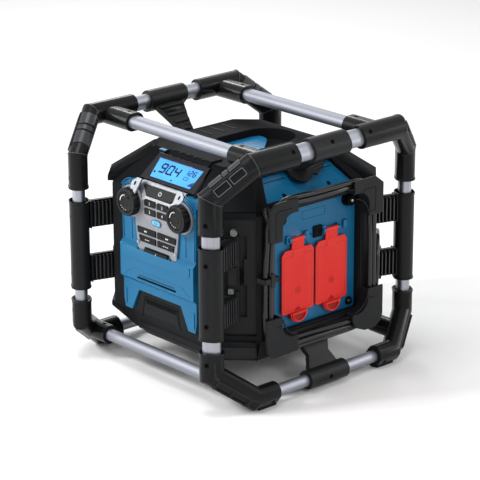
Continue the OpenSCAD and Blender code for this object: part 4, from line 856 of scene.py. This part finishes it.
def outlet_wall_details():
    """The bare mark above the flaps, the block between them and the lugs of their hinges."""
    bm = bmesh.new()
    outline(bm, rounded(1.5, 269.5, 47, 13, 1.5, 2), 0.7, -0.2, 0.16)
    add_piece("outlet_marks", bm, dark_print_and_shade, at=OUTLETS, soften=0.1)
    bm = bmesh.new()
    block(bm, 0.5, 17.5, 230, 248, -0.2, 2.6)
    add_piece("earth_block", bm, void_black, at=OUTLETS, soften=0.4)
    bm = bmesh.new()
    for y in (-52.5, -14.5, 22, 66):
        block(bm, y - 3.8, y + 3.8, 232, 245, -0.2, 3.6)
    add_piece("hinge_lugs", bm, shell_blue, at=OUTLETS, soften=1.4, segments=3)


def flap_details():
    """Each flap's pads, plain socket sign, fork mark, and the lip and cup of its pull tab, the cup dark
    with painted shade.
    """
    z = FLAP_FACE
    for s, flap in ((-1, "flap_left"), (1, "flap_right")):
        y = FLAP_Y * s
        bm = bmesh.new()
        plate(bm, rounded(y, 217, 21, 12, 1.5, 3), z - 0.3, z + 0.5)
        plate(bm, rounded(y, 236, 16, 7, 1.2, 3), z - 0.3, z + 0.4)
        add_piece(flap + "_pad", bm, flap_red, body=flap, at=OUTLETS, soften=0.25)
        bm = bmesh.new()
        hoop(bm, y, 157, 5.2, 0.8, z - 0.2, z + 0.14)
        for k in (-1.4, 1.4):
            block(bm, y + k - 0.35, y + k + 0.35, 157.5, 160, z - 0.2, z + 0.14)
        block(bm, y - 2.2, y + 2.2, 154.6, 157.2, z - 0.2, z + 0.14)
        outline(bm, rounded(y, 170, 58, 86, 4, 4), 0.45, z - 0.2, z + 0.06)
        add_piece(flap + "_sign", bm, flap_print_and_shade, body=flap, at=OUTLETS)
        bm = bmesh.new()
        for foot, tip, height in ((-5, -2.2, 129), (5, 2.2, 129), (0, 0, 132)):
            strip(bm, (y + foot, 124), (y + tip, height), 1.2, z - 0.2, z + 0.2)
        add_piece(flap + "_fork", bm, void_black, body=flap, at=OUTLETS)
        bm = bmesh.new()
        arc_bar(bm, y, 121.6, 13.4, 2.6, 180, 360, TAB_FACE, TAB_FACE + 2.4)
        block(bm, y - 14.7, y + 14.7, 119.8, 122.2, TAB_FACE, TAB_FACE + 2)
        add_piece(flap + "_lip", bm, flap_red, body=flap, at=OUTLETS, soften=0.7)
        # the cup: a dark half-disc, painted shade in the tab's hollow
        bm = bmesh.new()
        arc_bar(bm, y, 120.2, 5.9, 11.4, 184, 356, TAB_FACE, TAB_FACE + 0.4)
        add_piece(flap + "_cup", bm, flap_print_and_shade, body=flap, at=OUTLETS)


def slope_details():
    """Ridges, grooves and screw wells of the blue fields on the side slope."""
    z = reach("slope_panels", SIDE_SLOPE)
    bm = bmesh.new()
    for a, b in ((-78, -26), (26, 78)):
        strip(bm, (a + 3, 56), (b - 3, 56), 1.5, z - 0.3, z + 0.8)
        strip(bm, (a, 44.5), (b, 44.5), 0.9, z - 0.3, z + 0.5)
    strip(bm, (-80, 18.5), (80, 18.5), 0.9, z - 0.3, z + 0.5)
    add_piece("slope_ridges", bm, shell_blue, at=SIDE_SLOPE, soften=0.3)
    bm = bmesh.new()
    for a, b in ((-76, -25), (30, 70)):
        strip(bm, (a, 53), (b, 53), 1.3, z - 0.3, z + 0.15)
    add_piece("slope_grooves", bm, dark_print_and_shade, at=SIDE_SLOPE)
    bm = bmesh.new()
    for y in (-46, 46):
        post(bm, y, 26, 3.6, z - 0.3, z + 0.25, sides=28)
    add_piece("slope_screw_wells", bm, void_black, at=SIDE_SLOPE, soften=0.1)


def mirrored(x, y):
    return Matrix.Diagonal((x, y, 1, 1))


def bracket_fittings():
    """Bolts that hold each bracket's foot in its recess, and painted highlights on the edges of the ribs
    beside it.
    """
    for corner, (sx, sy) in CORNERS.items():
        turn = mirrored(sx, -sy)
        wall = turn @ local((140, -140, 0), (0.70711, 0.70711, 0), (0, 0, 1), (0.70711, -0.70711, 0))
        bm = bmesh.new()
        post(bm, -3, 265.5, 5.2, -6, 3.5, sides=28)
        block(bm, -11.5, -3.5, 170.5, 178, -3, 4.5)
        add_piece("bracket_bolts_" + corner, bm, bolt_grey_and_highlight, at=wall, soften=0.8)
        bm = bmesh.new()
        block(bm, -11.5, 1.0, 184, 212, -3, 1.5)
        add_piece("bracket_pad_" + corner, bm, hook_grey, at=wall, soften=0.5)
        arm = turn @ local((POST_X, -POST_Y, 0), (-0.304, 0.9527, 0), (0, 0, 1), (0.9527, 0.304, 0))
        # light strips on the ribs' edges: painted highlights
        bm = bmesh.new()
        for low in (126, 214):
            for x in (15 + 6.39 * k for k in range(1, 7)):
                for z in (9.55, -9.55):
                    block(bm, x + 0.5, x + 1.9, low + 4, low + 40, z - 0.25, z + 0.25)
        add_piece("arm_rib_highlights_" + corner, bm, painted_glint, at=arm)


def strap_boots():
    """The rounded feet that hold the upper straps on the slopes, with the ribbed ledge behind each."""
    for side, at in (("right", SIDE_SLOPE), ("left", mirrored(-1, 1) @ SIDE_SLOPE)):
        bm = bmesh.new()
        half = [(-1 + 21.5 * cos(radians(a)), 53 + 20 * sin(radians(a))) for a in range(180, 361, 12)]
        plate(bm, half + [(20.5, 66), (-22.5, 66)], -0.4, 5.5)
        plate(bm, [(17, 46), (27, 40), (45, 50), (54, 58.5), (54, 66), (17, 66)], -0.4, 3.4)
        for k in range(3):
            strip(bm, (21, 48.5 + 4.6 * k), (43 + 6.5 * k, 52.5 + 4.4 * k), 1.4, 3.0, 4.8)
        add_piece("strap_boot_" + side, bm, nylon_ribs, at=at, soften=0.9, segments=3)


# the slanting leg of the front right top corner: the ends of its axis, and the directions across it
LEG_FOOT, LEG_HEAD = Vector((POST_X, -POST_Y, 332.4)), Vector((185.5, -148.4, 380.3))
LEG_ALONG = (LEG_HEAD - LEG_FOOT).normalized()
LEG_WIDE = Vector((0.6598, 0.249, -0.709))
LEG_DEEP = LEG_ALONG.cross(LEG_WIDE)
LEG_W, LEG_T = 38, 30.5     # its flat section
RIDGE_R = 16.6      # of the segments on its inner edge


def leg_frame(sx, sy, across, out):
    """A place on the slanting leg of a top corner, with y along the leg."""
    return mirrored(sx, -sy) @ local(LEG_FOOT, across, LEG_ALONG, out)


def leg_details():
    """Raised segments on the inner edge of each slanting leg, painted lighter as sheen, and light rims on
    its two windows, painted as highlights.
    """
    for corner, (sx, sy) in CORNERS.items():
        bm = bmesh.new()
        ridge = [(RIDGE_R * cos(radians(a)), 3.75 + RIDGE_R * sin(radians(a))) for a in range(30, 151, 10)]
        for y0, y1 in ((11, 34), (36.5, 45), (47.5, 68)):
            plate(bm, ridge, y0, y1)
        up = Matrix(((1, 0, 0, 0), (0, 0, 1, 0), (0, 1, 0, 0), (0, 0, 0, 1)))
        # the segments take a lighter copy of the nylon: painted sheen
        add_piece("leg_segments_" + corner, bm, nylon_painted_sheen,
                  at=leg_frame(sx, sy, LEG_DEEP, -LEG_WIDE) @ up, soften=0.9, segments=3)
        bm = bmesh.new()
        for y in (12.4, 41.4):
            outline(bm, [(-5.8, y), (5.8, y), (5.8, y + 24), (-5.8, y + 24)], 0.8, 16.6, 17.3)
        # the rims' light grey is a painted highlight
        add_piece("window_rim_highlights_" + corner, bm, bolt_grey_and_highlight, at=leg_frame(sx, sy, LEG_WIDE, -LEG_DEEP),
                  soften=0.15)


def mitre_highlights():
    """A thin light rim where a slanting leg meets its post and its rail: a painted highlight along the
    mitre.
    """
    for corner, (sx, sy) in CORNERS.items():
        bm = bmesh.new()
        for place, next_leg in ((LEG_FOOT, Vector((0, 0, 1))), (LEG_HEAD, Vector((0, 1, 0)))):
            across = (LEG_ALONG + next_leg).normalized()
            rings = []
            for grow, shift in ((-0.6, -0.4), (0.25, -0.4), (0.25, 0.4), (-0.6, 0.4)):
                ring = []
                for x, y in rounded(0, 0, LEG_W + 2 * grow, LEG_T + 2 * grow, LEG_T / 2 + grow, 8):
                    p = LEG_WIDE * x + LEG_DEEP * y
                    slide = shift - p.dot(across) / LEG_ALONG.dot(across)
                    ring.append(bm.verts.new(place + p + LEG_ALONG * slide))
                rings.append(ring)
            for a, b in zip(rings, rings[1:] + rings[:1]):
                for i in range(len(a)):
                    k = (i + 1) % len(a)
                    bm.faces.new((a[i], a[k], b[k], b[i]))
        # the rims' light colour is a painted glint
        add_piece("mitre_highlights_" + corner, bm, painted_glint, at=mirrored(sx, -sy) @ RADIO)


def cage_collars():
    """Lips round the ends of the moulded sockets and sleeves on the posts."""
    for corner, (sx, sy) in CORNERS.items():
        bm = bmesh.new()
        for z0, z1 in ((95.6, 99), (118.5, 121.8), (256.8, 260), (280.5, 283.8)):
            plate(bm, rounded(0, 0, 39.2, 31.7, 15.8, 8), z0, z1)
        turn = Matrix.Rotation(-sx * sy * POST_TURN, 4, "Z")
        at = RADIO @ Matrix.Translation((sx * POST_X, sy * POST_Y, 0)) @ turn
        add_piece("collars_" + corner, bm, nylon, at=at, soften=0.7, segments=3)


def top_details():
    """The strip beside the media door, the door's ribs, and the ribs beside the top well."""
    bm = bmesh.new()
    block(bm, -57, -43, -119, -113, -0.5, 1.6)
    add_piece("hatch_strip", bm, shell_blue, at=TOP, soften=0.4)
    bm = bmesh.new()
    for k in range(5):
        strip(bm, (-34 + 17 * k, -113), (-26 + 17 * k, -90), 1.6, 0.5, 2.6)
    add_piece("hatch_ribs", bm, hook_grey, body="media_door", at=TOP, soften=0.4)
    bm = bmesh.new()
    for s in (-1, 1):
        for k in range(4):
            strip(bm, (s * 62, -30 + 24 * k), (s * 96, -30 + 24 * k), 3.0, -0.4, 1.0)
    add_piece("crown_ribs", bm, guard_black, at=TOP, soften=0.5)


def base_skirt():
    """The bumper along the foot of the front."""
    bm = bmesh.new()
    pulled(bm, [(-74, y, z) for y, z in ((-151, 62), (-149, 72), (-126, 50), (-134, 45.5))], (148, 0, 0))
    add_piece("base_skirt", bm, shell_black, at=RADIO, soften=1.6, segments=3)


def rear_details():
    """The battery door's ribs, and the rear's outlined field and screws."""
    z = reach("battery_door", REAR_WALL)
    bm = bmesh.new()
    for k in range(6):
        strip(bm, (-44, 156 + 11 * k), (44, 156 + 11 * k), 2.6, z - 2.2, z - 1.1)
    add_piece("battery_door_ribs", bm, shell_black, body="battery_door", at=REAR_WALL, soften=0.6)
    bm = bmesh.new()
    outline(bm, rounded(0, 122, 92, 18, 2, 3), 1.0, -0.3, 0.5)
    for s in (-1, 1):
        for y in (118, 268):
            screw_head(bm, s * 72, y, 3.2, -0.3, 1.2)
    add_piece("rear_fittings", bm, dark_print_and_shade, at=REAR_WALL)


def left_side_details():
    """Upright ribs, a bare plate and screws on the left side."""
    bm = bmesh.new()
    for k in range(9):
        strip(bm, (-60 + 15 * k, 124), (-60 + 15 * k, 230), 3.2, -0.3, 1.5)
    plate(bm, rounded(0, 254, 110, 24, 3), -0.3, 1.0)
    add_piece("left_ribs", bm, shell_black, at=LEFT_WALL, soften=0.6)
    bm = bmesh.new()
    for s in (-1, 1):
        for y in (116, 270):
            screw_head(bm, s * 70, y, 3.2, -0.3, 1.2)
    add_piece("left_screws", bm, void_black, at=LEFT_WALL)


for dress in (display_figures, power_sign, key_prints, knob_prints, phone_window, plate_screws,
              plate_shoulders, front_ridges, belly_relief, label_field, guard_ridges, hook_trim,
              panel_bosses, outlet_wall_details, flap_details, slope_details, bracket_fittings,
              strap_boots, leg_details, mitre_highlights, cage_collars, top_details, base_skirt, rear_details,
              left_side_details):
    dress()


# ---------- studio ----------
# each lamp's name, place, size and power
LAMPS = (("key", (-1.2, -2.3, 2.2), 0.7, 75), ("side", (2.5, -0.3, 1.6), 0.5, 14),
         ("top", (0.1, -0.4, 2.8), 1.1, 26), ("rim", (-2.2, 1.6, 1.8), 0.7, 16),
         ("right_strip", (1.6, 2.4, 0.5), 0.3, 40), ("left_strip", (-2.2, -1.7, 0.5), 0.3, 30))
STRIP_LENGTH = 2.6
LAMPS_AIM = Vector((0, 0, 0.2))
FLOOR_HALF, FLOOR_DROP = 12, 0.0005
AMBIENT = 0.45      # the world's strength for rays that light the radio, and 1 where it is seen


def lay_floor():
    m, tree, shader = paint("studio_floor")
    fill(tree, shader, {"Base Color": (0.9, 0.9, 0.9, 1), "Roughness": 0.9})
    bm = bmesh.new()
    bmesh.ops.create_grid(bm, x_segments=1, y_segments=1, size=FLOOR_HALF)
    floor = solid("floor", bm, m)
    floor.location.z = -FLOOR_DROP


def light_world():
    """A white world, dimmer for the rays that light the radio than for those that show it."""
    world = bpy.data.worlds.new("studio")
    bpy.context.scene.world = world
    world.use_nodes = True
    tree = world.node_tree
    rays = node(tree, "LightPath").outputs
    seen = maths(tree, "MAXIMUM", rays["Is Camera Ray"], rays["Is Transmission Ray"])
    gloss = maths(tree, "MAXIMUM", rays["Is Glossy Ray"], seen)
    level = node(tree, "MapRange", {"Value": gloss, "To Min": AMBIENT, "To Max": 1.0})
    fill(tree, tree.nodes["Background"], {"Color": (1, 1, 1, 1), "Strength": level.outputs[0]})


def hang_lamps():
    for name, place, size, power in LAMPS:
        lamp = stand(name, bpy.data.lights.new(name, "AREA"))
        lamp.data.energy = power
        lamp.data.size = size
        if "strip" in name:
            lamp.data.shape, lamp.data.size_y = "RECTANGLE", STRIP_LENGTH
        lamp.location = place
        lamp.rotation_euler = (LAMPS_AIM - Vector(place)).to_track_quat("-Z", "Y").to_euler()


lay_floor()
light_world()
hang_lamps()
bpy.context.scene.view_settings.view_transform = "Standard"
